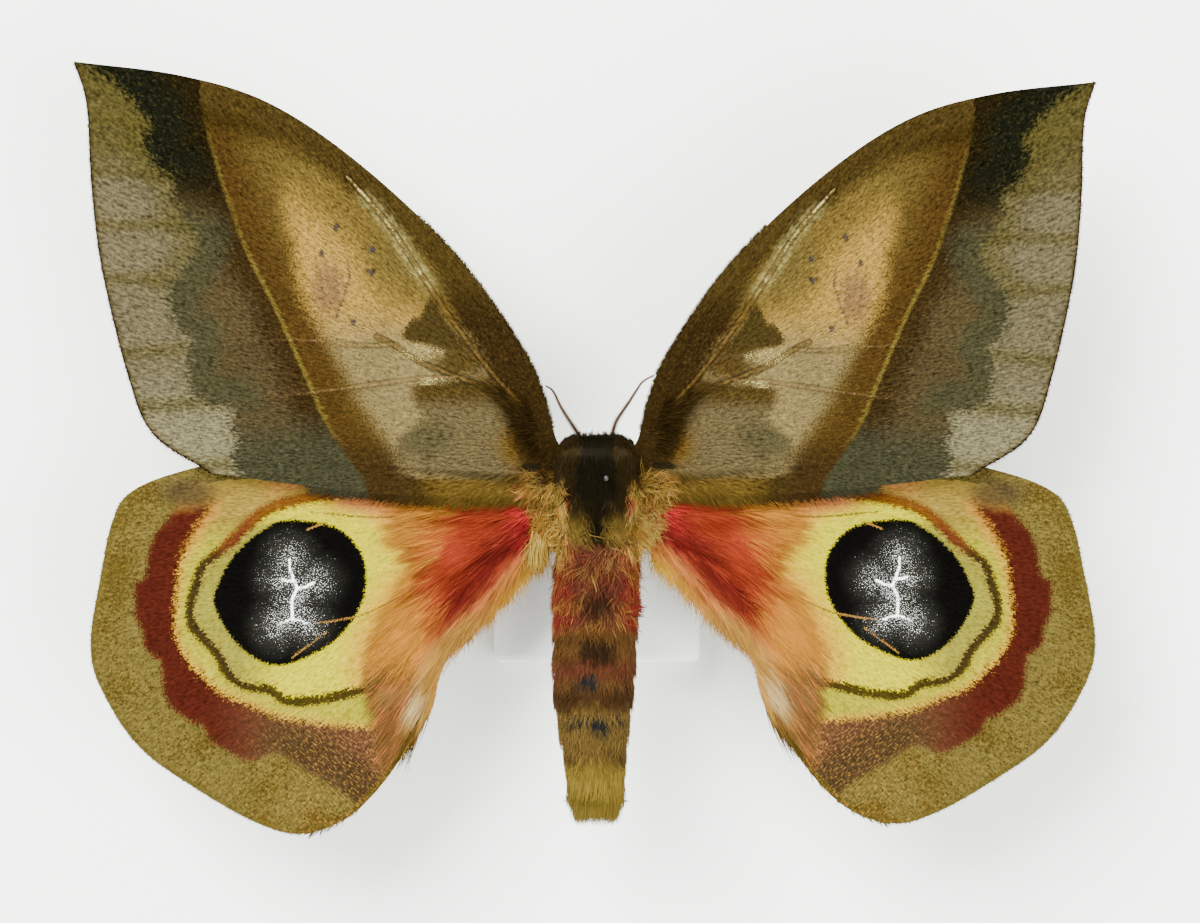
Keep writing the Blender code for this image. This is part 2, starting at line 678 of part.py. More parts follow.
def wing_locks(fringe, runs, pose, root, level, side, finish):
    """Flat locks of hair in the wing's own plane, from inside its edge outwards."""
    draw = random.Random(LOCK_SEED + 2)
    run = spaced(smooth(posed(runs[fringe["run"]], pose, root), 8), FRINGE_STEP)
    lean = np.array(fringe["lean"]) / np.linalg.norm(fringe["lean"])
    locks = []
    for share in np.linspace(fringe["from"], fringe["to"], fringe["count"]):
        edge = run[int(share * (len(run) - 1))]
        way = turned(lean, draw.uniform(-FRINGE_SWAY, FRINGE_SWAY))
        length = varied(draw, fringe["length"]) + FRINGE_ROOT
        start = edge - way * FRINGE_ROOT
        rings = []
        for at, wide, thick, _ in LOCK_PROFILE:
            middle = start + way * length * max(at, 0.0)
            height = level + camber(middle[None, :], None)[0] + FRINGE_RISE * min(1.0, 3 * max(at, 0.0))
            half_wide = np.array([way[1], -way[0]]) * FRINGE_WIDTH * wide / 2
            half_thick = LOCK_THICKNESS * thick / 2
            if at < 0:
                middle = middle - way * FRINGE_ROOT_BACK
                half_thick *= FRINGE_ROOT_THINNING
            corners = [(middle + half_wide, 0.0), (middle, half_thick), (middle - half_wide, 0.0),
                       (middle, -half_thick)]
            rings.append([(side * x, y, height + up) for (x, y), up in corners])
        locks.append(ring_solid("lock", rings, finish))
    return locks


def make_wing(name, side, level, runs, veins, root_line, pose, root, has_rise, fringe, finish):
    """One wing: the same net above and below, apart by the thickness, with the veins raised on both."""
    outline = wing_outline(runs, root_line, pose, root)
    lines = [posed(path, pose, root) for path in veins.values()]
    points, faces, crests = wing_plan(outline, lines)
    costa = spaced(smooth(posed(runs[0], pose, root), 8), 1.0) if has_rise else None
    middle = level + camber(points, costa)
    to_crest = np.array([nearest(p, crests) for p in points])
    ridge = VEIN_HEIGHT * np.clip(1 - to_crest / VEIN_HALF_WIDTH, 0, 1)
    ridge *= np.clip(np.array([nearest(p, outline) for p in points]) / VEIN_FADE, 0, 1)
    out = np.clip(points[:, 0] - ROOT_SIDE, 0, None)
    half = (WING_THICKNESS + ROOT_THICKENING * np.exp(-out / ROOT_THICKENING_REACH)) / 2
    x = side * points[:, 0]
    top = np.column_stack([x, points[:, 1], middle + half + ridge])
    low = np.column_stack([x, points[:, 1], middle - half - VEIN_UNDER_SHARE * ridge])
    count = len(points)
    shell = list(faces) + [tuple(v + count for v in reversed(face)) for face in faces]
    used = {}
    for face in faces:
        for a, b in zip(face, face[1:] + face[:1]):
            used[(a, b)] = True
    for a, b in used:
        if (b, a) not in used:
            shell += [(a, b, b + count), (a, b + count, a + count)]
    wing = mesh_object(name, np.vstack([top, low]), shell, finish)
    fuse(wing, wing_locks(fringe, runs, pose, root, level, side, finish))
    return wing


def make_wings(thorax_room, abdomen_room):
    for side, fore_set, hind_set in (
        (-1, SET_LEFT, SET_LEFT),
        (1, FOREWING_SET_RIGHT, HINDWING_SET_RIGHT),
    ):
        fore = make_wing("forewing_" + side_name(side), side, FOREWING_LEVEL, FOREWING_RUNS,
                         FOREWING_VEINS, FOREWING_ROOT_LINE, fore_set, FOREWING_ROOT, True,
                         FOREWING_FRINGE, "forewing_scales")
        cut(fore, thorax_room)
        hind = make_wing("hindwing_" + side_name(side), side, HINDWING_LEVEL, HINDWING_RUNS,
                         HINDWING_VEINS, HINDWING_ROOT_LINE, hind_set, HINDWING_ROOT, False,
                         HINDWING_FRINGE, "hindwing_scales")
        cut(hind, thorax_room)
        cut(hind, abdomen_room)


# Stand

def make_base():
    """A flat foam block with small bevels, its underside on the floor."""
    depth = BASE_FRONT - BASE_REAR
    bpy.ops.mesh.primitive_cube_add(size=1.0)
    base = bpy.context.active_object
    base.name = "stand_base"
    base.data.name = "stand_base"
    base.data.materials.append(material("foam"))
    for vert in base.data.vertices:
        x, y, z = vert.co
        middle = (BASE_FRONT + BASE_REAR) / 2
        vert.co = (2 * BASE_HALF_WIDTH * MM * x, (depth * y + middle) * MM,
                   BASE_HEIGHT * MM * (z + 0.5))
    bevel = base.modifiers.new("edges", "BEVEL")
    bevel.width = BASE_BEVEL * MM
    bevel.segments = 2


def make_pin():
    """A steel pin through the thorax: one length below the body and one above it, ending in its head."""
    station = thorax_station(PIN_PLACE[1])
    low, high = station[3], station[4]
    parts = {
        "stand_pin_lower": [(BASE_HEIGHT + GAP, PIN_RADIUS), (low - GAP, PIN_RADIUS)],
        "stand_pin_upper": [(high + GAP, PIN_RADIUS)]
        + [(PIN_TOP - depth, radius) for depth, radius in PIN_HEAD],
    }
    turns = 2 * math.pi * np.arange(PIN_SIDES) / PIN_SIDES
    for name, profile in parts.items():
        rings = [[(PIN_PLACE[0] + r * math.cos(a), PIN_PLACE[1] + r * math.sin(a), z)
                  for a in turns] for z, r in profile]
        ring_solid(name, rings, "steel")


def main():
    clear_scene()
    thorax_room = make_thorax_room()
    make_thorax()
    make_abdomen()
    abdomen_room = make_abdomen_room()
    for side in (-1, 1):
        make_tegula(side)
    head_room = make_head(thorax_room)
    make_antennae(head_room, thorax_room)
    make_legs(thorax_room)
    make_wings(thorax_room, abdomen_room)
    make_base()
    make_pin()


main()
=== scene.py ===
"""A giant silk moth with an eyespot on each hindwing, pinned with its wings spread, as a museum shows it.

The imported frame's solids give every place and size. Sizes here are in millimetres and become metres in the
meshes. Wing patterns are laid out once for a pair, with x running outwards from the body, and are then set
on the left and on the right. Skin and hair of one part share one finish, which reads each hair's root.
"""

import math

import bpy
import numpy as np
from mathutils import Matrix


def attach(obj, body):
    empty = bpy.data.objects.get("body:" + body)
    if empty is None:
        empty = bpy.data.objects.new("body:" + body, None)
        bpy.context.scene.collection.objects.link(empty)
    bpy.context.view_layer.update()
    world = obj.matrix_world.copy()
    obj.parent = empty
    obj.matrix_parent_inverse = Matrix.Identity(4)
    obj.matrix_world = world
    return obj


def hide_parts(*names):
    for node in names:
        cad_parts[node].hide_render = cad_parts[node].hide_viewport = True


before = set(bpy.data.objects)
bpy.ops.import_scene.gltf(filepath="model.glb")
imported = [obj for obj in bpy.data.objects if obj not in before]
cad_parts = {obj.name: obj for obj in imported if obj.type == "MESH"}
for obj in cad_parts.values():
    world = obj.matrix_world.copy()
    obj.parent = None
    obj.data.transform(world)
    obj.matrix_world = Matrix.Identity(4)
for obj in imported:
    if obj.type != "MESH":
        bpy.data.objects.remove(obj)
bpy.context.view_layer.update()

MM = 0.001
SIDES = (("left", -1), ("right", 1))

bl_info = {
    "name": "Pinned silk moth",
    "version": (1, 0, 0),
    "blender": (4, 5, 0),
    "location": "3D View > Sidebar > Moth",
    "description": "Builds a pinned silk moth piece by piece over its packed solids",
    "category": "Add Mesh",
}

# Levels and shape of the wings
FOREWING_LEVEL = 20.3
HINDWING_LEVEL = 18.3
TIP_DROOP = 1.6
DROOP_START = 12.0
WING_REACH = 64.0
COSTA_RISE = 0.5
COSTA_REACH = 8.0

# Edges of a pair of wings: front edge from the root outwards, outer edge, rear edge back to the root
FOREWING_FRONT = [(4.0, 3.4), (5.1, 5.4), (6.7, 11.0), (9.3, 16.5), (17.4, 27.7), (29.1, 38.7)]
FOREWING_FRONT += [(40.0, 46.0), (50.8, 49.4), (64.0, 51.2)]
FOREWING_OUTER = [(64.0, 51.2), (62.5, 46.0), (61.9, 36.0), (60.6, 25.7), (57.4, 12.8), (54.3, 5.6)]
FOREWING_OUTER += [(47.3, 0.9)]
FOREWING_REAR = [(47.3, 0.9), (36.3, -0.6), (24.0, -1.9), (13.0, -2.2), (6.3, -1.6), (4.0, -1.6)]
HINDWING_FRONT = [(4.0, -2.6), (6.3, -2.6), (14.0, 1.6), (28.0, 3.6), (42.0, 2.9), (52.0, 0.8)]
HINDWING_FRONT += [(57.6, -1.7)]
HINDWING_OUTER = [(57.6, -1.7), (59.7, -5.4), (60.9, -11.0), (62.3, -20.0), (61.0, -25.7), (56.1, -33.0)]
HINDWING_OUTER += [(48.3, -38.5), (41.5, -42.2), (36.3, -43.4)]
HINDWING_REAR = [(36.3, -43.4), (30.4, -41.3), (25.2, -35.8), (21.6, -29.2), (18.8, -21.6)]
HINDWING_REAR += [(13.4, -16.2), (6.6, -9.0), (4.0, -9.6)]

FOREWING_VEINS = [
    [(7.0, 6.4), (12.4, 19.0), (24.0, 32.2), (35.0, 41.7), (44.0, 46.6)],
    [(7.0, 5.0), (13.2, 13.7), (17.6, 19.4), (22.4, 27.2), (28.1, 33.7), (41.0, 43.0), (52.0, 47.4)],
    [(28.1, 33.7), (42.0, 39.7), (52.0, 42.6), (61.8, 44.4)],
    [(28.1, 33.7), (43.0, 36.6), (61.4, 37.8)],
    [(26.9, 26.6), (43.0, 30.8), (61.0, 31.2)],
    [(26.4, 20.6), (41.0, 23.9), (59.9, 24.6)],
    [(7.0, 4.2), (13.2, 11.5), (19.3, 13.7), (23.7, 15.9), (37.6, 17.0), (57.6, 15.5)],
    [(13.2, 11.5), (25.4, 11.5), (35.1, 10.6), (55.4, 8.9)],
    [(7.0, 0.6), (22.0, 1.6), (35.0, 2.4), (47.6, 1.9)],
]
HINDWING_VEINS = [
    [(7.2, -3.6), (20.0, 0.6), (40.0, 0.6), (53.5, -1.2)],
    [(7.2, -4.6), (20.0, -3.9), (38.0, -3.4), (59.4, -7.6)],
    [(20.0, -3.9), (38.0, -8.4), (60.1, -13.6)],
    [(19.4, -9.2), (38.0, -14.8), (61.4, -20.4)],
    [(7.2, -5.8), (16.8, -10.2), (29.0, -17.0), (38.1, -21.8), (59.6, -26.4)],
    [(16.8, -10.2), (33.0, -24.0), (53.0, -34.2)],
    [(12.0, -8.0), (26.0, -24.0), (44.6, -39.6)],
    [(7.2, -7.2), (19.0, -21.0), (29.0, -33.4), (35.4, -42.2)],
]

# Pattern of the forewing
POST_LINE = [(48.5, 46.4), (47.8, 43.4), (46.8, 39.5), (44.7, 32.9), (42.5, 27.2), (39.8, 22.0)]
POST_LINE += [(37.6, 17.2), (35.1, 11.5), (33.4, 7.6), (30.7, 3.2), (28.2, -0.5), (27.5, -6.0)]
BAND_INNER = [(42.4, 46.4), (39.3, 44.0), (37.6, 41.2), (38.0, 34.8), (37.1, 30.5), (35.9, 24.1)]
BAND_INNER += [(34.8, 20.8), (32.6, 16.5), (29.6, 11.6), (27.6, 8.3), (25.8, 5.4), (24.1, 1.2), (22.0, -6.0)]
SCALLOP = [(66.0, 52.0), (61.2, 50.0), (58.2, 47.8), (55.8, 45.0), (54.7, 43.5), (55.4, 41.5)]
SCALLOP += [(54.7, 39.8), (53.4, 37.6), (51.9, 36.8), (51.6, 34.2), (50.8, 32.0), (49.5, 31.0)]
SCALLOP += [(48.8, 29.8), (49.0, 28.1), (51.0, 25.2), (52.1, 23.9), (52.4, 22.0), (51.9, 19.6)]
SCALLOP += [(51.0, 18.0), (49.4, 17.1), (50.0, 15.6), (50.1, 13.2), (49.7, 11.0), (48.5, 9.7)]
SCALLOP += [(46.1, 9.0), (44.4, 8.7), (44.7, 6.7), (44.2, 4.9), (44.6, 2.3), (43.5, -0.2), (43.0, -6.0)]
OUTER_CORNERS = [(90.0, -6.0), (90.0, 60.0), (48.5, 60.0)]
BASAL_LOBES = [(11.9, 12.7), (15.5, 12.3), (19.2, 12.1), (22.1, 11.5), (22.4, 10.3), (21.9, 8.9)]
BASAL_LOBES += [(21.1, 7.5), (23.1, 6.1), (24.1, 5.0), (24.6, 3.5), (23.8, 2.1), (20.4, 1.2), (14.3, 0.5)]
BASAL_LOBES += [(2.0, 1.2), (2.0, 8.3), (8.2, 10.9)]
CELL_TRIANGLE = [(20.3, 22.2), (21.6, 19.9), (22.5, 19.6), (23.7, 17.4), (20.4, 16.4), (19.2, 15.9)]
CELL_TRIANGLE += [(16.5, 15.5), (15.5, 16.3), (17.4, 18.3), (19.2, 20.8)]
CELL_DOTS = [(31.8, 30.9), (33.6, 27.6), (27.5, 28.1), (27.5, 25.3), (29.8, 19.2)]
CELL_CRESCENT = [(30.5, 26.8), (30.2, 25.0), (30.5, 23.8), (30.8, 22.8), (31.3, 21.4), (31.8, 19.8)]
MAIN_VEINS = [
    [(5.0, 5.3), (8.6, 8.7), (12.9, 13.2), (17.6, 19.4), (21.9, 25.8), (24.6, 30.0), (27.5, 33.7)]
    + [(30.5, 37.0)],
    [(8.6, 7.2), (13.5, 11.1), (17.1, 12.6), (21.7, 14.5), (25.0, 16.6), (26.9, 17.5)],
]
PALE_VEINS = [
    [(25.0, 16.6), (28.8, 16.4), (36.3, 17.1), (42.0, 17.0)],
    [(17.1, 12.6), (22.5, 12.3), (30.0, 11.3), (36.3, 10.5), (42.0, 10.0)],
]

# Pattern of the hindwing
EYESPOT = [(36.3, -5.0), (32.4, -5.7), (30.3, -7.1), (28.8, -9.3), (28.3, -11.7), (28.7, -14.7)]
EYESPOT += [(30.1, -17.4), (32.4, -19.9), (35.3, -21.6), (38.5, -22.7), (40.9, -22.4), (43.1, -21.1)]
EYESPOT += [(44.8, -19.4), (46.3, -16.9), (47.1, -14.7), (46.4, -12.5), (45.0, -9.9), (43.3, -7.9)]
EYESPOT += [(41.4, -6.4), (39.0, -5.1)]
RING_LINE = [(20.0, 0.6), (27.5, -1.2), (30.5, -1.3), (36.5, -2.3), (40.1, -3.4), (42.4, -5.0), (44.2, -6.7)]
RING_LINE += [(46.6, -9.2), (48.4, -10.6), (49.2, -13.0), (49.9, -15.6), (49.7, -17.7), (48.4, -19.4)]
RING_LINE += [(46.6, -21.3), (45.5, -23.3), (44.2, -24.8), (42.4, -25.4), (40.1, -25.7), (38.6, -26.8)]
RING_LINE += [(37.1, -27.1), (33.6, -26.8), (30.5, -26.1), (27.6, -25.5), (24.7, -25.0), (16.0, -23.0)]
BAND_IN = [(45.5, -0.6), (47.2, -3.8), (49.0, -6.7), (50.5, -9.4), (51.3, -11.7), (51.8, -15.3)]
BAND_IN += [(51.8, -18.9), (50.5, -21.9), (47.8, -24.8), (45.5, -26.6), (42.4, -27.7), (39.5, -29.0)]
BAND_IN += [(35.1, -29.8), (30.5, -30.3), (26.5, -30.3), (14.0, -29.0)]
BAND_OUT = [(49.7, -0.6), (52.5, -4.6), (54.3, -6.7), (55.1, -8.8), (55.5, -11.7), (56.7, -13.0)]
BAND_OUT += [(56.8, -14.7), (56.7, -16.9), (55.7, -18.9), (55.5, -20.8), (53.6, -22.5), (53.4, -25.0)]
BAND_OUT += [(52.7, -27.5), (50.1, -29.6), (48.4, -30.2), (47.4, -31.9), (44.8, -33.6), (42.4, -34.5)]
BAND_OUT += [(40.2, -33.6), (38.7, -33.7), (36.3, -35.2), (33.2, -37.1), (30.2, -39.1), (26.0, -44.0)]
INNER_CORNERS = [(-20.0, -44.0), (-20.0, 8.0)]
EYE_CRACKS = [
    [(37.7, -9.7), (37.7, -10.9), (37.1, -12.5), (36.8, -13.3), (37.4, -14.7), (37.4, -17.0)],
    [(36.8, -13.3), (35.7, -13.1), (34.7, -12.6)],
    [(39.2, -17.8), (38.2, -17.3), (37.4, -17.1), (36.3, -17.3), (35.5, -17.6)],
    [(38.6, -12.2), (37.9, -12.4), (37.1, -12.5)],
]
FINE_LINES = [
    [(35.1, -3.9), (31.4, -4.3), (27.7, -4.6), (24.1, -4.5)],
    [(21.6, -13.4), (24.1, -14.4), (27.1, -15.8), (29.2, -16.7), (34.4, -17.6)],
    [(37.4, -21.8), (35.7, -20.5), (33.1, -18.6)],
    [(35.6, -6.1), (33.1, -5.2)],
]
RED_HAIR = [(5.7, -2.4), (9.4, -1.5), (15.5, -2.4), (21.6, -3.4), (24.1, -4.9), (23.5, -7.3), (21.6, -9.8)]
RED_HAIR += [(24.7, -14.7), (27.1, -18.9), (28.0, -22.6), (27.4, -27.0), (27.0, -32.0), (26.4, -35.5)]
RED_HAIR += [(24.0, -34.5), (22.0, -30.5), (21.2, -27.0), (19.6, -23.0), (17.4, -20.8)]
RED_HAIR += [(14.3, -17.4), (11.2, -13.4), (8.2, -9.8), (6.0, -7.9)]
DARK_STREAK = [(8.5, -6.5), (11.9, -8.6), (14.3, -12.2), (17.2, -15.1)]

# Roots of the wings, and how the right wings' plans are turned and scaled about them
FOREWING_SET_RIGHT = ((0.966, -0.023), (-0.011, 0.958))
HINDWING_SET_RIGHT = ((0.977, -0.015), (-0.001, 0.969))
FOREWING_ROOT = (5.6, 7.0)
HINDWING_ROOT = (6.2, -1.5)

# Body, rear to front: y, centre x, half width, underside, top
BODY = [
    (-39.4, -0.2, 1.8, 16.0, 19.3),
    (-38.8, -0.2, 2.6, 15.3, 19.9),
    (-36.0, -0.2, 3.3, 14.8, 20.4),
    (-30.0, -0.4, 4.1, 14.2, 21.2),
    (-24.0, -0.4, 4.75, 13.9, 21.5),
    (-12.0, 0.0, 4.75, 14.1, 21.9),
    (-6.6, 0.0, 4.2, 14.5, 22.1),
    (-2.2, 0.0, 5.0, 14.1, 23.4),
    (1.6, 0.0, 4.9, 15.0, 23.7),
    (4.2, 0.0, 4.4, 17.6, 22.9),
    (5.3, 0.0, 3.0, 19.0, 21.9),
]
SECTION_POWER = 2.3
ABDOMEN_FRONT = -6.6
ABDOMEN_REAR = -36.0
SEGMENTS = 7
HEAD_CENTRE = (0.1, 3.2, 17.0)
HEAD_RADII = (2.5, 2.3, 2.6)
EYE_CENTRE = (2.35, 3.9, 17.1)
EYE_RADIUS = 1.22
PALP_CENTRE = (0.75, 4.5, 15.0)
PALP_RADII = (0.45, 1.1, 0.5)
TEGULA_Y = 1.3
TEGULA_HALF_LENGTH = 3.4
TEGULA_ANGLE = math.radians(44)
TEGULA_HALF_ANGLE = math.radians(20)
TEGULA_HEIGHT = 0.9

ANTENNA_RADIUS = 0.23
ANTENNA_TIP_RADIUS = 0.09
ANTENNAE = {
    "left": [(-1.5, 4.2, 18.0), (-2.4, 5.8, 19.0), (-3.4, 7.3, 19.7), (-4.4, 8.9, 20.3), (-5.1, 10.4, 20.7)]
    + [(-5.6, 11.1, 20.9), (-6.3, 11.5, 21.0)],
    "right": [(1.6, 4.2, 18.0), (2.2, 6.8, 19.0), (3.0, 8.2, 19.7), (3.9, 9.5, 20.3), (4.8, 10.9, 20.7)]
    + [(5.6, 12.0, 20.9), (7.0, 12.8, 21.0)],
}
LEGS = {
    "foreleg": [(1.5, 0.4, 16.0), (3.0, 1.6, 12.6), (1.8, 4.9, 11.4), (0.9, 1.4, 10.6)],
    "midleg": [(2.2, -0.8, 16.0), (4.6, -0.6, 13.0), (3.0, 3.0, 11.3), (2.4, -1.6, 10.5)],
    "hindleg": [(2.2, -4.0, 16.0), (4.9, -4.4, 13.2), (3.4, -8.6, 11.6), (2.0, -12.2, 10.8)],
}
PIN_PLACE = (1.1, 0.25)
PIN_PROFILE = [(7.0, 0.0), (7.0, 0.24), (30.4, 0.24), (30.6, 0.29), (31.1, 0.32), (31.4, 0.22), (31.5, 0.0)]

# Baking map: width of a tuft's patch and the free margin
BAKE_PATCH = 0.003
BAKE_EDGE = 0.01
BODY_AXIS_HEIGHT = 18.0
BODY_MAP_REAR = 42.0
BODY_MAP_LENGTH = 49.0

# Tufts: height and half width of the section, and its size at each ring from the root
FINE_SECTION = (0.45, 0.5)
TAPER = (0.75, 1.0, 0.7, 0.5)

# Steps of paths and nets, and cell sizes in millimetres
EDGE_STEPS = 400
FRINGE_STEPS = 600
SLOPE_STEP = 0.15
SKIN_CELL = 0.25
BODY_RINGS = (130, 60)
BODY_SIDES = 72
FEELER_STEPS = 240
FEELER_JOINTS = 30
LEG_STEPS = 160

# Lights: name, place in metres, width in metres and power in watts
LIGHTS = (("key", (-0.45, 0.55, 0.75), 0.7, 49.0), ("fill", (0.6, -0.35, 0.7), 0.8, 22.5))
SURROUND = 1.74

# Camera and stage
CAMERA_PLACE = (0.37, 2.26, 427.0)
LENS = 100.0
FLOOR_HALF = 1500.0


# Settings

def size(name, note, default, low=0.0, high=10.0):
    return bpy.props.FloatProperty(name=name, description=note, default=default, min=low, max=high)


def count(name, note, default):
    return bpy.props.IntProperty(name=name, description=note, default=default, min=1)


def colour(name, note, *default):
    return bpy.props.FloatVectorProperty(
        name=name, description=note, default=default, subtype="COLOR", size=3, min=0.0, max=1.0)


class MothSizes(bpy.types.PropertyGroup):
    """Sizes in millimetres, and how many hairs each part carries."""

    membrane: size("Membrane", "Half the thickness of a wing, in millimetres", 0.15)
    rim: size("Rim", "Half the thickness at a wing's edge, in millimetres", 0.04)
    vein: size("Vein", "Height of a vein over the membrane, in millimetres", 0.17)
    pleat: size("Pleat", "Depth of the folds between veins, in millimetres", 0.16)
    net_along: count("Net along", "Cells of a wing's net from root to edge", 260)
    net_across: count("Net across", "Cells of a wing's net from front to rear", 160)
    fur_width: size("Hair width", "Width of a hair tuft at its root, in millimetres", 0.12)
    thorax_hairs: count("Thorax hairs", "Tufts on the thorax and head", 12000)
    abdomen_hairs: count("Abdomen hairs", "Tufts on the abdomen", 12400)
    brush_hairs: count("Brush hairs", "Tufts of the brush at the tip", 4500)
    base_hairs: count("Wing base hairs", "Tufts on each forewing's base", 9400)
    rear_hairs: count("Rear edge hairs", "Tufts along each wing's rear edge", 5200)
    red_hairs: count("Red hairs", "Tufts on each hindwing", 12000)
    root_hairs: count("Root hairs", "Curly tufts beside the body on each side", 2500)
    fringe_hairs: count("Fringe hairs", "Tufts of the fringe along each wing's edge", 2600)
    leg_hairs: count("Leg hairs", "Tufts on each leg", 700)


class ForewingColours(bpy.types.PropertyGroup):
    """Colours of the forewing's scales."""

    apex: colour("Apex", "Dark patch inside the border near the tip", 0.0025, 0.0030, 0.0015)
    outer: colour("Outer band", "Outside the yellow line", 0.0243, 0.0174, 0.0070)
    outer_front: colour("Outer band, front", "The same band near the front edge", 0.0046, 0.0031, 0.0009)
    outer_rear: colour("Outer band, rear", "The same band near the rear edge", 0.0152, 0.0152, 0.0076)
    outer_near: colour("Outer band, inner", "The same band beside the line", 0.0116, 0.0067, 0.0020)
    lobe: colour("Lobe", "Greener lobes beside the pale border", 0.0165, 0.0168, 0.0077)
    border: colour("Border", "Pale border along the outer edge", 0.0495, 0.0420, 0.0220)
    border_ochre: colour("Border ochre", "Border near the tip and beside the veins", 0.0266, 0.0218, 0.0049)
    border_rear: colour("Border, rear", "Border near the rear edge", 0.0725, 0.0650, 0.0337)
    edge: colour("Edge", "Thin line along the outer edge", 0.0246, 0.0158, 0.0042)
    line: colour("Line", "Thin line between the bands", 0.0522, 0.0371, 0.0068)
    band: colour("Band", "Dark golden band inside the line", 0.0229, 0.0120, 0.0027)
    band_light: colour("Band, light", "Inner side of that band", 0.0409, 0.0271, 0.0060)
    gold: colour("Gold", "Golden brown near the tip", 0.0190, 0.0108, 0.0014)
    tip: colour("Tip", "Dark golden brown near the tip", 0.0112, 0.0068, 0.0012)
    middle: colour("Middle", "Pinkish tan field", 0.154, 0.0922, 0.0179)
    rose: colour("Rose", "Rosy field round the crescent", 0.0861, 0.0489, 0.0182)
    olive: colour("Olive", "Olive field before the cell", 0.0414, 0.0288, 0.0065)
    cell: colour("Cell", "Darker olive in the cell", 0.0372, 0.0287, 0.0075)
    pale: colour("Pale", "Pale grey field behind the cell", 0.0824, 0.0625, 0.0243)
    front: colour("Front strip", "Strip along the front edge", 0.0190, 0.0120, 0.0028)
    front_root: colour("Front strip, root", "The same strip near the body", 0.0100, 0.0056, 0.0015)
    triangle: colour("Triangle", "Dark triangle in the cell", 0.0179, 0.0122, 0.0032)
    base: colour("Base", "Brown lobes at the wing's base", 0.0422, 0.0322, 0.0134)
    base_dark: colour("Base, dark", "Front of the base", 0.0232, 0.0146, 0.0036)
    base_grey: colour("Base, grey", "Grey lobe behind", 0.0264, 0.0226, 0.0093)
    root: colour("Root", "Golden hair beside the body", 0.0424, 0.0234, 0.0037)
    curls: colour("Curls", "Orange gold curls where the wing meets the body", 0.17, 0.088, 0.02)
    rear: colour("Rear edge", "Golden hair along the rear edge", 0.0417, 0.0254, 0.0046)
    rear_dark: colour("Rear edge, outer", "Dark hair further out", 0.0082, 0.0048, 0.0014)
    vein: colour("Vein", "Bare vein", 0.0490, 0.0272, 0.0061)
    # Shine is a painted highlight: the pale sheen and glints on the veins, strongest where scales are worn.
    shine: colour("Shine", "Pale worn streaks on the veins", 0.384, 0.343, 0.120)
    dots: colour("Dots", "Small dots and crescent", 0.011, 0.0105, 0.013)
    glint: colour("Glint", "Single golden scales", 0.145, 0.1, 0.02)
    # Dark is also the colour of the painted shadow in the slit at the wing's root.
    dark: colour("Dark scales", "Single dark scales", 0.0045, 0.0038, 0.0018)
    under: colour("Underside", "Underside of the wing", 0.085, 0.055, 0.028)


class HindwingColours(bpy.types.PropertyGroup):
    """Colours of the hindwing's scales and hair."""

    cream: colour("Cream", "Pale yellow field", 0.245, 0.222, 0.0013)
    green: colour("Green", "Yellow green ring round the eyespot", 0.107, 0.0971, 0.0120)
    cream_ring: colour("Cream ring", "Ring inside the red band", 0.158, 0.141, 0.0067)
    peach: colour("Peach", "Where cream meets red hair", 0.252, 0.104, 0.0122)
    eyespot: colour("Eyespot", "Black of the eyespot", 0.0014, 0.0013, 0.0011)
    eye_grey: colour("Eyespot grey", "Dusted middle of the eyespot", 0.0118, 0.0120, 0.0091)
    # Crack is the eyespot's white streak, and also the colour of the painted highlight specks round it.
    crack: colour("Crack", "White streak and specks in the eyespot", 1.0, 1.0, 0.95)
    ring: colour("Ring line", "Thin dark ring", 0.0052, 0.0027, 0.0018)
    ring_red: colour("Ring line, front", "The same ring near the front edge", 0.0461, 0.0067, 0.0035)
    band: colour("Red band", "Dark red band", 0.0260, 0.0047, 0.0025)
    band_light: colour("Red band, inner side", "Paler side of that band", 0.0429, 0.0179, 0.0083)
    band_brown: colour("Red band, brown", "The same band near the inner edge", 0.0223, 0.0129, 0.0052)
    outer: colour("Outer field", "Tan outer field", 0.0636, 0.0481, 0.0107)
    outer_ochre: colour("Outer ochre", "Ochre clouds of the outer field", 0.0381, 0.0253, 0.0042)
    fleck: colour("Flecks", "Dark flecks of the outer field", 0.0135, 0.0095, 0.0035)
    edge: colour("Edge", "Line along the outer edge", 0.045, 0.034, 0.006)
    front: colour("Front strip", "Strip along the front edge", 0.115, 0.0783, 0.0128)
    front_dark: colour("Front patch", "Dark patch on that strip", 0.0254, 0.0172, 0.0075)
    salmon: colour("Salmon", "Field behind the forewing's rear edge", 0.251, 0.0838, 0.0241)
    red: colour("Red hair", "Orange red hair", 0.141, 0.0180, 0.0071)
    crimson: colour("Crimson hair", "Hair at the wing's root", 0.339, 0.0179, 0.0193)
    maroon: colour("Maroon hair", "Dark streak through the hair", 0.0431, 0.0040, 0.0038)
    orange: colour("Orange hair", "Hair along the inner edge", 0.225, 0.0648, 0.0201)
    inner: colour("Inner edge", "Papery strip at the inner edge", 0.207, 0.106, 0.0204)
    hazel: colour("Hazel hair", "Golden brown hair over the lower inner edge", 0.0882, 0.0467, 0.0126)
    paper: colour("Fold", "Papery fold of the inner edge", 0.302, 0.218, 0.0960)
    under: colour("Underside", "Underside of the wing", 0.11, 0.075, 0.035)


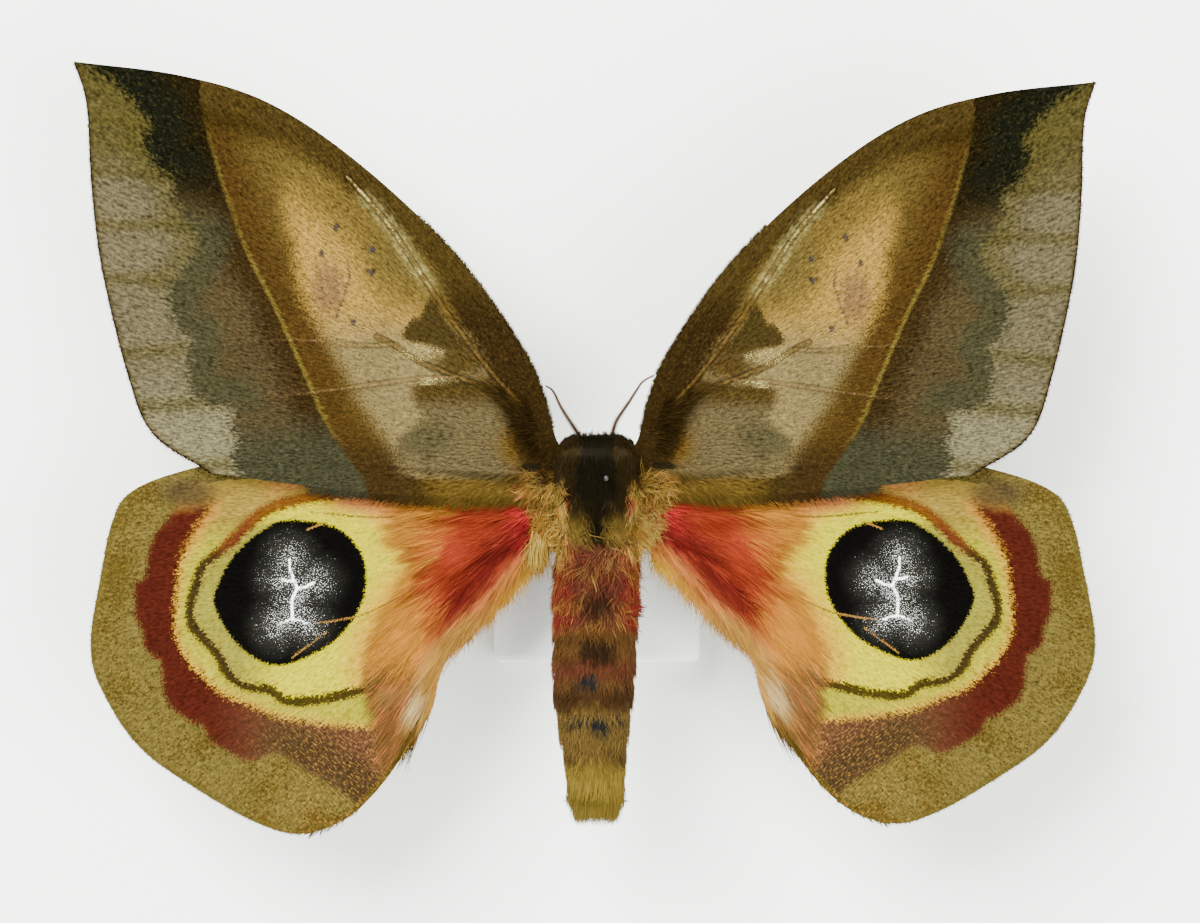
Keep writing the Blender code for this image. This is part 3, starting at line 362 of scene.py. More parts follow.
class BodyColours(bpy.types.PropertyGroup):
    """Colours of the body's skin and fur."""

    thorax: colour("Thorax", "Top of the thorax", 0.0031, 0.0023, 0.0004)
    shoulder: colour("Shoulder", "Shoulder flaps", 0.0084, 0.0050, 0.0008)
    olive: colour("Thorax, rear", "Golden hair behind the shoulders", 0.0714, 0.0442, 0.0080)
    cream: colour("Cream hair", "Pale hair beside the wing roots", 0.224, 0.158, 0.0326)
    gold: colour("Gold hair", "Golden hair beside the wing roots", 0.158, 0.0770, 0.0104)
    rose: colour("Rose", "Front of the abdomen", 0.0549, 0.0138, 0.0072)
    blush: colour("Blush", "Rosy hair among the pale hair", 0.17, 0.026, 0.016)
    red: colour("Red", "Red patches on the abdomen's sides", 0.0898, 0.0082, 0.0056)
    tan: colour("Tan", "Tan rings", 0.0489, 0.0220, 0.0055)
    brown: colour("Brown", "Brown between the rings", 0.0091, 0.0047, 0.0017)
    ochre: colour("Ochre", "Rear of the abdomen", 0.0681, 0.0415, 0.0093)
    brush: colour("Brush", "Brush at the tip", 0.102, 0.0709, 0.0100)
    bare: colour("Bare", "Bare blue black spots", 0.0036, 0.0056, 0.0065)
    under: colour("Underside", "Underside and legs", 0.06, 0.035, 0.013)
    eye: colour("Eye", "Compound eyes", 0.012, 0.008, 0.005)
    feeler: colour("Feeler", "Feelers", 0.0284, 0.0119, 0.0034)
    foam: colour("Foam", "Foam block under the body", 0.92, 0.94, 0.89)
    steel: colour("Pin", "Steel of the pin", 0.0504, 0.0504, 0.0521)
    floor: colour("Floor", "Pale floor", 0.92, 0.95, 0.89)


class MothSettings(bpy.types.PropertyGroup):
    """Everything that a user can change."""

    sizes: bpy.props.PointerProperty(type=MothSizes)
    forewing: bpy.props.PointerProperty(type=ForewingColours)
    hindwing: bpy.props.PointerProperty(type=HindwingColours)
    body: bpy.props.PointerProperty(type=BodyColours)


def settings():
    return bpy.context.scene.moth


# Shader maths

class Value:
    """An output of a material's node tree. Arithmetic on it adds Math nodes."""

    def __init__(self, finish, socket):
        self.finish = finish
        self.socket = socket

    def __add__(self, other):
        return self.finish.maths("ADD", self, other)

    __radd__ = __add__

    def __sub__(self, other):
        return self.finish.maths("SUBTRACT", self, other)

    def __rsub__(self, other):
        return self.finish.maths("SUBTRACT", other, self)

    def __mul__(self, other):
        return self.finish.maths("MULTIPLY", self, other)

    __rmul__ = __mul__


class Finish:
    """A material being made. Each method adds a node and returns one of its outputs as a Value."""

    def __init__(self, name, roughness, specular=0.0, metallic=0.0, coat=0.0):
        self.material = bpy.data.materials.new(name)
        self.material.use_nodes = True
        self.tree = self.material.node_tree
        self.shader = self.tree.nodes["Principled BSDF"]
        fixed = {"Roughness": roughness, "Specular IOR Level": specular, "Metallic": metallic}
        fixed["Coat Weight"] = coat
        for socket, value in fixed.items():
            self.shader.inputs[socket].default_value = value

    def node(self, kind, options, inputs, output=0):
        """Adds a node: its settings first, then the values or links of its sockets by name or number."""
        made = self.tree.nodes.new("ShaderNode" + kind)
        for name, value in options.items():
            setattr(made, name, value)
        for place, value in inputs.items():
            self.feed(made.inputs[place], value)
        return Value(self, made.outputs[output])

    def feed(self, socket, value):
        if isinstance(value, Value):
            self.tree.links.new(value.socket, socket)
        elif socket.type == "RGBA":
            socket.default_value = (*value, 1.0)
        else:
            socket.default_value = value

    def maths(self, operation, a, b):
        return self.node("Math", {"operation": operation}, {0: a, 1: b})

    def most(self, a, b):
        return self.maths("MAXIMUM", a, b)

    def attribute(self, name):
        return self.node("Attribute", {"attribute_name": name}, {}, 1)

    def parts(self, vector):
        """The three numbers of a vector."""
        first = self.node("SeparateXYZ", {}, {0: vector})
        return [Value(self, socket) for socket in first.socket.node.outputs]

    def vector(self, x, y, z=0.0):
        return self.node("CombineXYZ", {}, {0: x, 1: y, 2: z})

    def noise(self, vector, scale, detail=2.0):
        """Noise from about -0.5 to 0.5, with so many waves to a unit of the vector."""
        return self.node("TexNoise", {}, {"Vector": vector, "Scale": scale, "Detail": detail}) - 0.5

    def step(self, value, low, high):
        """0 below low and 1 above high, with a smooth change between. Low may be the higher."""
        options = {"interpolation_type": "SMOOTHSTEP"}
        return self.node("MapRange", options, {"Value": value, "From Min": low, "From Max": high})

    def near(self, value, half_width, softness):
        """1 where the value is within half_width of nought, fading to 0 over the softness."""
        away = self.maths("ABSOLUTE", value, 0.0)
        return self.step(away, half_width + softness, half_width)

    def spot(self, place, centre, radii, inner=0.25):
        """1 in the middle of an oval patch of the plan, out to a share of its radii, and 0 outside it."""
        middle = (*centre, 0.0)
        shrink = (1.0 / radii[0], 1.0 / radii[1], 0.0)
        away = self.node("VectorMath", {"operation": "SUBTRACT"}, {0: place, 1: middle})
        length = self.node("VectorMath", {"operation": "LENGTH"}, {0: self.stretched(away, shrink)}, 1)
        return self.step(length, 1.0, inner)

    def mix(self, share, first, second):
        """The first colour where share is 0 and the second where it is 1."""
        return self.node("Mix", {"data_type": "RGBA"}, {0: share, 6: first, 7: second}, 2)

    def lit(self, tint, share):
        """The colour made brighter or darker by a share."""
        return self.node("VectorMath", {"operation": "SCALE"}, {0: tint, "Scale": share})

    def stretched(self, vector, by):
        """The vector with each of its numbers times its own factor."""
        return self.node("VectorMath", {"operation": "MULTIPLY"}, {0: vector, 1: by})

    def bump(self, height, distance, strength=1.0):
        inputs = {"Strength": strength, "Distance": distance, "Height": height}
        self.feed(self.shader.inputs["Normal"], self.node("Bump", {}, inputs))

    def base(self, tint):
        self.feed(self.shader.inputs["Base Color"], tint)


# Curves and areas

def smooth(points, steps=8):
    """Points on a Catmull-Rom curve through the given ones, with so many steps from each to the next."""
    p = np.array(points, float)
    p = np.vstack([2 * p[0] - p[1], p, 2 * p[-1] - p[-2]])
    t = np.linspace(0, 1, steps, endpoint=False)[:, None]
    runs = []
    for a, b, c, d in zip(p, p[1:], p[2:], p[3:]):
        bend = (2 * a - 5 * b + 4 * c - d) * t**2 + (3 * b - 3 * c + d - a) * t**3
        runs.append(0.5 * (2 * b + (c - a) * t + bend))
    return np.vstack(runs + [p[-2:-1]])


def spaced(path, steps):
    """The path with its points an equal distance apart, so many steps from end to end."""
    reach = np.r_[0, np.cumsum(np.linalg.norm(np.diff(path, axis=0), axis=1))]
    at = np.linspace(0, reach[-1], steps + 1)
    return np.column_stack([np.interp(at, reach, column) for column in path.T])


def distance(points, path):
    """Distance of each point to the nearest place of a path of straight pieces."""
    found = np.full(len(points), np.inf)
    for start, way in zip(path[:-1], np.diff(path, axis=0)):
        away = points - start
        share = np.clip(away @ way / max(way @ way, 1e-12), 0, 1)
        gap = away - share[:, None] * way
        found = np.minimum(found, np.hypot(gap[:, 0], gap[:, 1]))
    return found


def nearest(points, paths):
    """Distance of each point to the nearest of several paths."""
    return np.min([distance(points, path) for path in paths], axis=0)


def within(points, outline):
    """Whether each point lies in the closed outline, by counting the edges that lie to its right."""
    x, y = points.T
    found = np.zeros(len(points), bool)
    for (ax, ay), (bx, by) in zip(outline, np.roll(outline, -1, axis=0)):
        if ay != by:
            crosses = (ay > y) != (by > y)
            found ^= crosses & (x < ax + (y - ay) / (by - ay) * (bx - ax))
    return found


def depth(points, path, corners=()):
    """Distance to the path, positive inside the outline that the path and the far corners close."""
    outline = np.vstack([path, *[[corner] for corner in corners]])
    return distance(points, path) * np.where(within(points, outline), 1.0, -1.0)


def loop(points):
    """A smooth closed path through the points."""
    ring = list(points[-2:]) + list(points) + list(points[:2])
    return smooth(ring, 6)[12:-6]


def ripple(points, wave, seed):
    """Slow pseudo-random waves over the points: the sum of a few sines in drawn directions."""
    draw = np.random.default_rng(seed)
    total = np.zeros(len(points))
    for _ in range(5):
        way = draw.normal(size=points.shape[1])
        way *= draw.uniform(0.6, 1.6) * 2 * math.pi / (wave * np.linalg.norm(way))
        total += np.sin(points @ way + draw.uniform(0, 2 * math.pi))
    return total / 5


# Meshes

def settle(piece, slot, *solids):
    """Hides the solids that a piece replaces and sets the piece on the root body. The slot is not used."""
    if solids:
        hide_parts(*solids)
    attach(piece, "root")


def new_piece(name, points, faces, finish, marks=None, bake=None, is_smooth=True):
    """An object from points in millimetres, arrays of faces, values at the points and a baking map."""
    mesh = bpy.data.meshes.new(name)
    mesh.vertices.add(len(points))
    mesh.vertices.foreach_set("co", (np.asarray(points) * MM).astype(np.float32).ravel())
    corners = np.concatenate([part.ravel() for part in faces]).astype(np.int32)
    sizes = np.concatenate([np.full(len(part), part.shape[1]) for part in faces])
    mesh.loops.add(len(corners))
    mesh.loops.foreach_set("vertex_index", corners)
    mesh.polygons.add(len(sizes))
    mesh.polygons.foreach_set("loop_start", (np.cumsum(sizes) - sizes).astype(np.int32))
    mesh.polygons.foreach_set("use_smooth", np.full(len(sizes), is_smooth))
    mesh.update(calc_edges=True)
    for key, values in (marks or {}).items():
        layer = mesh.attributes.new(key, "FLOAT_VECTOR", "POINT")
        layer.data.foreach_set("vector", values.astype(np.float32).ravel())
    if bake is not None:
        layer = mesh.uv_layers.new(name="OFBake")
        layer.data.foreach_set("uv", bake[corners].astype(np.float32).ravel())
    mesh.validate()
    mesh.materials.append(finish.material)
    piece = bpy.data.objects.new(name, mesh)
    bpy.context.scene.collection.objects.link(piece)
    return piece


def gathered(items, key, width, kind=np.float32):
    """One value of a mesh's items, in rows of so many numbers."""
    values = np.empty(len(items) * width, kind)
    items.foreach_get(key, values)
    return values.reshape(-1, width)


def grid_faces(rows, columns, start=0, is_closed=False):
    """Four-sided faces of a net of points in rows. A closed net joins its last column to its first."""
    index = start + np.arange(rows * columns).reshape(rows, columns)
    beside = np.roll(index, -1, axis=1)
    if not is_closed:
        index, beside = index[:, :-1], beside[:, :-1]
    quads = np.stack([index[:-1], beside[:-1], beside[1:], index[1:]], axis=-1)
    return quads.reshape(-1, 4)


def fan_faces(ring, middle):
    """Three-sided faces from a closed ring of points to one point."""
    return np.column_stack([ring, np.roll(ring, -1), np.full(len(ring), middle)])


def closed_tube(rings):
    """Points and faces of a tube through rings of points, closed by a fan to the middle of each end ring.

    The rings run round the way ahead by the right hand, so that the faces point outwards.
    """
    rows, columns = rings.shape[:2]
    points = np.vstack([rings.reshape(-1, 3), rings[0].mean(axis=0), rings[-1].mean(axis=0)])
    sides = grid_faces(rows, columns, is_closed=True)
    last = np.arange(columns) + (rows - 1) * columns
    first = np.arange(columns)[::-1]
    ends = np.vstack([fan_faces(first, rows * columns), fan_faces(last, rows * columns + 1)])
    return points, [sides, ends]


def tube_rings(path, radii, sides):
    """Rings of points square to a path, each of its own radius."""
    ahead = np.gradient(path, axis=0)
    ahead /= np.linalg.norm(ahead, axis=1)[:, None]
    across = np.cross(ahead, (0.3, 0.2, 1.0))
    across /= np.linalg.norm(across, axis=1)[:, None]
    up = np.cross(ahead, across)
    turns = 2 * math.pi * np.arange(sides) / sides
    circle = across[:, None] * np.cos(turns)[:, None] + up[:, None] * np.sin(turns)[:, None]
    return path[:, None] + circle * np.asarray(radii)[:, None, None]


def unit(vectors):
    return vectors / np.maximum(np.linalg.norm(vectors, axis=1), 1e-9)[:, None]


def along_surface(ways, normals):
    """The ways with their part along the normals taken away, made one long."""
    return unit(ways - normals * np.sum(ways * normals, axis=1)[:, None])


def to_clumps(roots, ways, clump, pull, draw):
    """How far a tip is pulled towards the middle of the roots of its clump, square to its way."""
    cells = np.floor((roots + draw.normal(0, 0.12 * clump, roots.shape)) / clump).astype(int)
    _, group = np.unique(cells, axis=0, return_inverse=True)
    group = group.reshape(-1)
    sums = np.column_stack([np.bincount(group, weights=column) for column in roots.T])
    middles = (sums / np.bincount(group)[:, None])[group]
    pulled = pull * (middles - roots)
    return pulled - ways * np.sum(pulled * ways, axis=1)[:, None]


def tuft_faces(number, rings):
    """Faces of tufts that each have so many rings of three points and a tip."""
    each = rings * 3 + 1
    sides = grid_faces(rings, 3, is_closed=True)
    tip = fan_faces(np.arange(3) + 3 * (rings - 1), each - 1)
    root = np.array([[2, 1, 0]])
    shift = (np.arange(number) * each)[:, None, None]
    return [(sides[None] + shift).reshape(-1, 4), (np.vstack([tip, root])[None] + shift).reshape(-1, 3)]


def tufts(name, roots, normals, ways, lengths, widths, finish, marks, places, seed, rise=0.3, clump=0.9,
          pull=0.5, swing=0.12, droop=0.0, sink=0.1, rings=3):
    """One mesh of thin three-sided tufts.

    The middle line of a tuft at share t of its length is root - sink * normal + length * (way * t
    + rise * normal * t * (1 - t / 2)), moved by pull * t * t towards the middle of the roots of its clump,
    swung sideways by a sine of t, and lowered by droop * t * t. Its width shrinks to nothing at the tip.
    """
    draw = np.random.default_rng(seed)
    number = len(roots)
    across = np.cross(ways, normals)
    to_middle = to_clumps(roots, ways, clump, pull, draw)
    phase = draw.uniform(0, 2 * math.pi, number)
    reach = swing * lengths * draw.normal(0, 1, number)
    t = np.r_[np.arange(rings) / rings, 1.0]
    line = roots[:, None] - sink * normals[:, None]
    line = line + lengths[:, None, None] * (ways[:, None] * t[:, None]
                                            + rise * normals[:, None] * (t * (1 - t / 2))[:, None])
    line = line + to_middle[:, None] * (t**2)[:, None]
    wave = np.sin(2.2 * t[None] + phase[:, None]) - np.sin(phase)[:, None]
    line = line + across[:, None] * (reach[:, None] * wave)[..., None]
    line[..., 2] -= droop * lengths[:, None] * t**2
    high, wide = FINE_SECTION
    shape = np.stack([normals * high, across * wide, across * -wide], axis=1)
    taper = np.array(TAPER)[:rings]
    size_at = widths[:, None] * taper[None]
    body = line[:, :rings, None] + shape[:, None] * size_at[..., None, None]
    points = np.concatenate([body.reshape(number, rings * 3, 3), line[:, -1:]], axis=1)
    each = rings * 3 + 1
    share = np.r_[np.repeat(t[:rings], 3), 1.0]
    shade = draw.uniform(-1, 1, (2, number))
    strand = np.stack(np.broadcast_arrays(share[None], shade[0][:, None], shade[1][:, None]), axis=-1)
    values = {key: np.repeat(value, each, axis=0) for key, value in marks.items()}
    values["strand"] = strand.reshape(-1, 3)
    patch = BAKE_PATCH * np.column_stack([np.r_[np.tile([-0.5, 0.0, 0.5], rings), 0.0], share])
    bake = (places[:, None] + patch[None]).reshape(-1, 2)
    faces = tuft_faces(number, rings)
    return new_piece(name, points.reshape(-1, 3), faces, finish, values, bake, is_smooth=False)


# Wings

def wing_net(front, outer, rear, rows, columns):
    """A net over a wing's plan: blends between opposite edges, added up, less the blend of the corners."""
    u = np.linspace(0, 1, columns + 1)[None, :, None]
    v = np.linspace(0, 1, rows + 1)[:, None, None]
    lead, trail = spaced(front, columns)[None], spaced(rear[::-1], columns)[None]
    tip, root = spaced(outer, rows)[:, None], spaced(np.array([front[0], rear[-1]]), rows)[:, None]
    corners = ((1 - u) * (1 - v) * lead[:, :1] + u * (1 - v) * lead[:, -1:]
               + (1 - u) * v * trail[:, :1] + u * v * trail[:, -1:])
    return (1 - v) * lead + v * trail + (1 - u) * root + u * tip - corners


def rim_faces(fine, coarse):
    """Faces that close the gap round a fine net and one of every second row and column of it."""
    strips = []
    for edge, under in ((fine[0], coarse[0]), (fine[:, -1], coarse[:, -1]),
                        (fine[-1, ::-1], coarse[-1, ::-1]), (fine[::-1, 0], coarse[::-1, 0])):
        a, b, c = edge[:-1:2], edge[1::2], edge[2::2]
        d, e = under[:-1], under[1:]
        strips += [np.column_stack([a, b, d]), np.column_stack([b, e, d]), np.column_stack([b, c, e])]
    return np.vstack(strips)


def wing_map(rows, columns):
    """Places of a wing's points on the baking map: the fine net low on it, the coarse one above."""
    u = np.linspace(0, 1, columns + 1)[None] + np.zeros((rows + 1, 1))
    v = np.linspace(0, 1, rows + 1)[:, None] + np.zeros((1, columns + 1))
    fine = np.stack([0.02 + 0.96 * u, 0.01 + 0.6 * v], axis=-1)
    coarse = np.stack([0.02 + 0.96 * u, 0.99 - 0.36 * v], axis=-1)[::2, ::2]
    return np.vstack([fine.reshape(-1, 2), coarse.reshape(-1, 2)])


class Wing:
    """The plan, pattern and finish that both wings of a pair share."""

    def __init__(self, kind, level, front, outer, rear, veins, set_right, root, finish, marks):
        self.kind, self.level, self.set_right, self.root = kind, level, set_right, root
        self.front, self.outer, self.rear = front, outer, rear
        self.outline = np.vstack([front[:-1], outer[:-1], rear])
        self.veins = [smooth(vein) for vein in veins]
        self.finish = finish
        self.pattern = marks

    def camber(self, plan):
        """Height of the middle over the wing's level: it droops outwards and rises to its front edge."""
        out = np.clip((plan[:, 0] - DROOP_START) / (WING_REACH - DROOP_START), 0, None)
        height = -TIP_DROOP * out**2
        if self.kind == "forewing":
            near = np.clip(1 - distance(plan, self.front) / COSTA_REACH, 0, 1)
            height += COSTA_RISE * near**2
        return height

    def to_edges(self, plan):
        """Distances to the front, rear and outer edge."""
        return np.column_stack([distance(plan, edge) for edge in (self.front, self.rear, self.outer)])

    def height(self, plan, is_top=True):
        """Height of the upper or lower surface: camber, membrane, vein ridges, folds between the veins."""
        sizes = settings().sizes
        rim = distance(plan, self.outline)
        vein = nearest(plan, self.veins)
        inwards = np.clip(rim / 1.2, 0, 1)
        half = sizes.rim + (sizes.membrane - sizes.rim) * np.sqrt(inwards)
        ridge = sizes.vein * np.exp(-(vein / 0.3) ** 2) * inwards
        fold = sizes.pleat * (np.exp(-(vein / 2.2) ** 2) - 0.5) * np.clip(rim / 4.0, 0, 1)
        wave = 0.07 * ripple(plan, 9.0, 3) * np.clip(rim / 5.0, 0, 1)
        middle = self.level + self.camber(plan) + fold + wave
        return middle + half + ridge if is_top else middle - half - 0.5 * ridge

    def placed(self, plan, heights, side):
        """Points in the frame's millimetres from places on the shared plan."""
        if side > 0:
            plan = (plan - self.root) @ np.array(self.set_right).T + self.root
        return np.column_stack([side * plan[:, 0], plan[:, 1], heights])

    def marks(self, plan, heights, under=0.0):
        """The values that the finish reads at each point, by name."""
        values = self.pattern(plan, self)
        values["place"] = np.column_stack([plan, heights])
        centre = np.array(self.root) - (6.0, 4.0 if self.kind == "forewing" else 0.0)
        away = plan - centre
        turn = np.arctan2(away[:, 1], away[:, 0])
        values["grain"] = np.column_stack([np.hypot(*away.T), turn * 40.0, np.full(len(plan), under)])
        return values

    def bake_place(self, plan):
        """Places on the unwrapped wing, for hair roots."""
        low, high = self.outline.min(axis=0), self.outline.max(axis=0)
        return BAKE_EDGE + (1 - 2 * BAKE_EDGE) * (plan - low) / (high - low)

    def make(self, side_name, side):
        """A closed wing: a fine net above, every second row and column of it below, and a strip between."""
        sizes = settings().sizes
        rows, columns = sizes.net_across, sizes.net_along
        rows, columns = rows - rows % 2, columns - columns % 2
        net = wing_net(self.front, self.outer, self.rear, rows, columns)
        plan = net.reshape(-1, 2)
        low_plan = net[::2, ::2].reshape(-1, 2)
        top = self.height(plan)
        low = self.height(low_plan, False)
        upper, lower = self.marks(plan, top), self.marks(low_plan, low, 1.0)
        marks = {key: np.vstack([upper[key], lower[key]]) for key in upper}
        points = np.vstack([self.placed(plan, top, side), self.placed(low_plan, low, side)])
        many, few = (rows + 1, columns + 1), (rows // 2 + 1, columns // 2 + 1)
        fine = np.arange(many[0] * many[1]).reshape(many)
        coarse = len(plan) + np.arange(few[0] * few[1]).reshape(few)
        above = grid_faces(*many)
        below = grid_faces(*few, start=len(plan))[:, ::-1]
        faces = [above, below, rim_faces(fine, coarse)]
        corner = points[above[len(above) // 2]]
        if np.cross(corner[1] - corner[0], corner[2] - corner[1])[2] < 0:
            faces = [part[:, ::-1] for part in faces]
        bake = wing_map(rows, columns)
        piece = new_piece(f"{self.kind}_scales_{side_name}", points, faces, self.finish, marks, bake)
        settle(piece, f"{self.kind}_scales", f"{self.kind}_{side_name}")

    def surface(self, plan, side):
        """Points on the upper surface and its normals, from the slope of the height over a short step."""
        height = self.height(plan)
        slope_x = (self.height(plan + (SLOPE_STEP, 0.0)) - height) / SLOPE_STEP
        slope_y = (self.height(plan + (0.0, SLOPE_STEP)) - height) / SLOPE_STEP
        normals = unit(np.column_stack([-side * slope_x, -slope_y, np.ones(len(plan))]))
        return self.placed(plan, height, side), normals, height


def drawn_within(outline, number, seed):
    """Random places inside an outline."""
    draw = np.random.default_rng(seed)
    low, high = outline.min(axis=0), outline.max(axis=0)
    found = np.empty((0, 2))
    while len(found) < number:
        tried = draw.uniform(low, high, (number, 2))
        found = np.vstack([found, tried[within(tried, outline)]])
    return found[:number]


def forewing_marks(plan, wing):
    """Depths in the forewing's fields and distances to its lines, three to a mark."""
    line = smooth(POST_LINE)
    inner = smooth(BAND_INNER)
    scallop = smooth(SCALLOP, 4)
    lobes, triangle = loop(BASAL_LOBES), loop(CELL_TRIANGLE)
    dots = np.min([np.hypot(*(plan - dot).T) for dot in CELL_DOTS], axis=0)
    return {
        "marks_a": np.column_stack([depth(plan, line, OUTER_CORNERS), depth(plan, scallop, OUTER_CORNERS),
                                    depth(plan, inner, OUTER_CORNERS)]),
        "marks_b": np.column_stack([depth(plan, lobes), depth(plan, triangle), nearest(plan, wing.veins)]),
        "marks_c": wing.to_edges(plan),
        "marks_d": np.column_stack([np.minimum(dots, 0.3 + distance(plan, smooth(CELL_CRESCENT))),
                                    nearest(plan, map(smooth, MAIN_VEINS)),
                                    nearest(plan, map(smooth, PALE_VEINS))]),
    }


def hindwing_marks(plan, wing):
    """Depths in the hindwing's fields and distances to its lines, three to a mark."""
    ring, band_in, band_out = smooth(RING_LINE), smooth(BAND_IN), smooth(BAND_OUT, 4)
    cracks = nearest(plan, map(np.array, EYE_CRACKS))
    fine = nearest(plan, map(smooth, FINE_LINES))
    return {
        "marks_a": np.column_stack([depth(plan, ring, INNER_CORNERS), depth(plan, band_in, INNER_CORNERS),
                                    depth(plan, band_out, INNER_CORNERS)]),
        "marks_b": np.column_stack([depth(plan, loop(EYESPOT)), cracks, nearest(plan, wing.veins)]),
        "marks_c": wing.to_edges(plan),
        "marks_d": np.column_stack([fine, depth(plan, loop(RED_HAIR)), distance(plan, smooth(DARK_STREAK))]),
    }


class Scales:
    """What a finish of scales reads: place, lie, the noises of the single scales, a tuft's own values."""

    def __init__(self, m):
        self.place = m.attribute("place")
        along, across, self.under = m.parts(m.attribute("grain"))
        self.share, self.shade, self.tone = m.parts(m.attribute("strand"))
        outer = m.noise(m.vector(along * 1.5, across * 4.6), 1.0, 1.0)
        inner = m.noise(m.vector(along * 1.5, across * 1.7, 3.0), 1.0, 1.0)
        self.streaks = m.noise(m.vector(along * 0.6, across * 2.0, 7.0), 1.0, 1.0)
        self.strokes = inner + m.step(along, 20.0, 34.0) * (outer - inner)
        self.dust = m.noise(self.place, 4.8, 1.0)
        self.hues = m.noise(m.node("VectorMath", {"operation": "ADD"}, {0: self.place, 1: (31.0, 17.0, 5.0)}),
                            3.2, 1.0)
        self.clouds = m.noise(self.place, 0.16, 3.0)
        self.ragged = self.dust * 3.2 + self.strokes * 2.4
        self.drift = self.clouds * 3.0

    def lay(self, m, field, under):
        """Lays the pattern on the upper side and a plain colour on the underside, with the scales' relief."""
        plain = m.lit(under, 1.0 + self.strokes * 1.2 + self.clouds * 0.8)
        m.base(m.mix(self.under, field, plain))
        m.bump(self.strokes + self.dust * 0.6, 0.00012, 0.7)
        return m


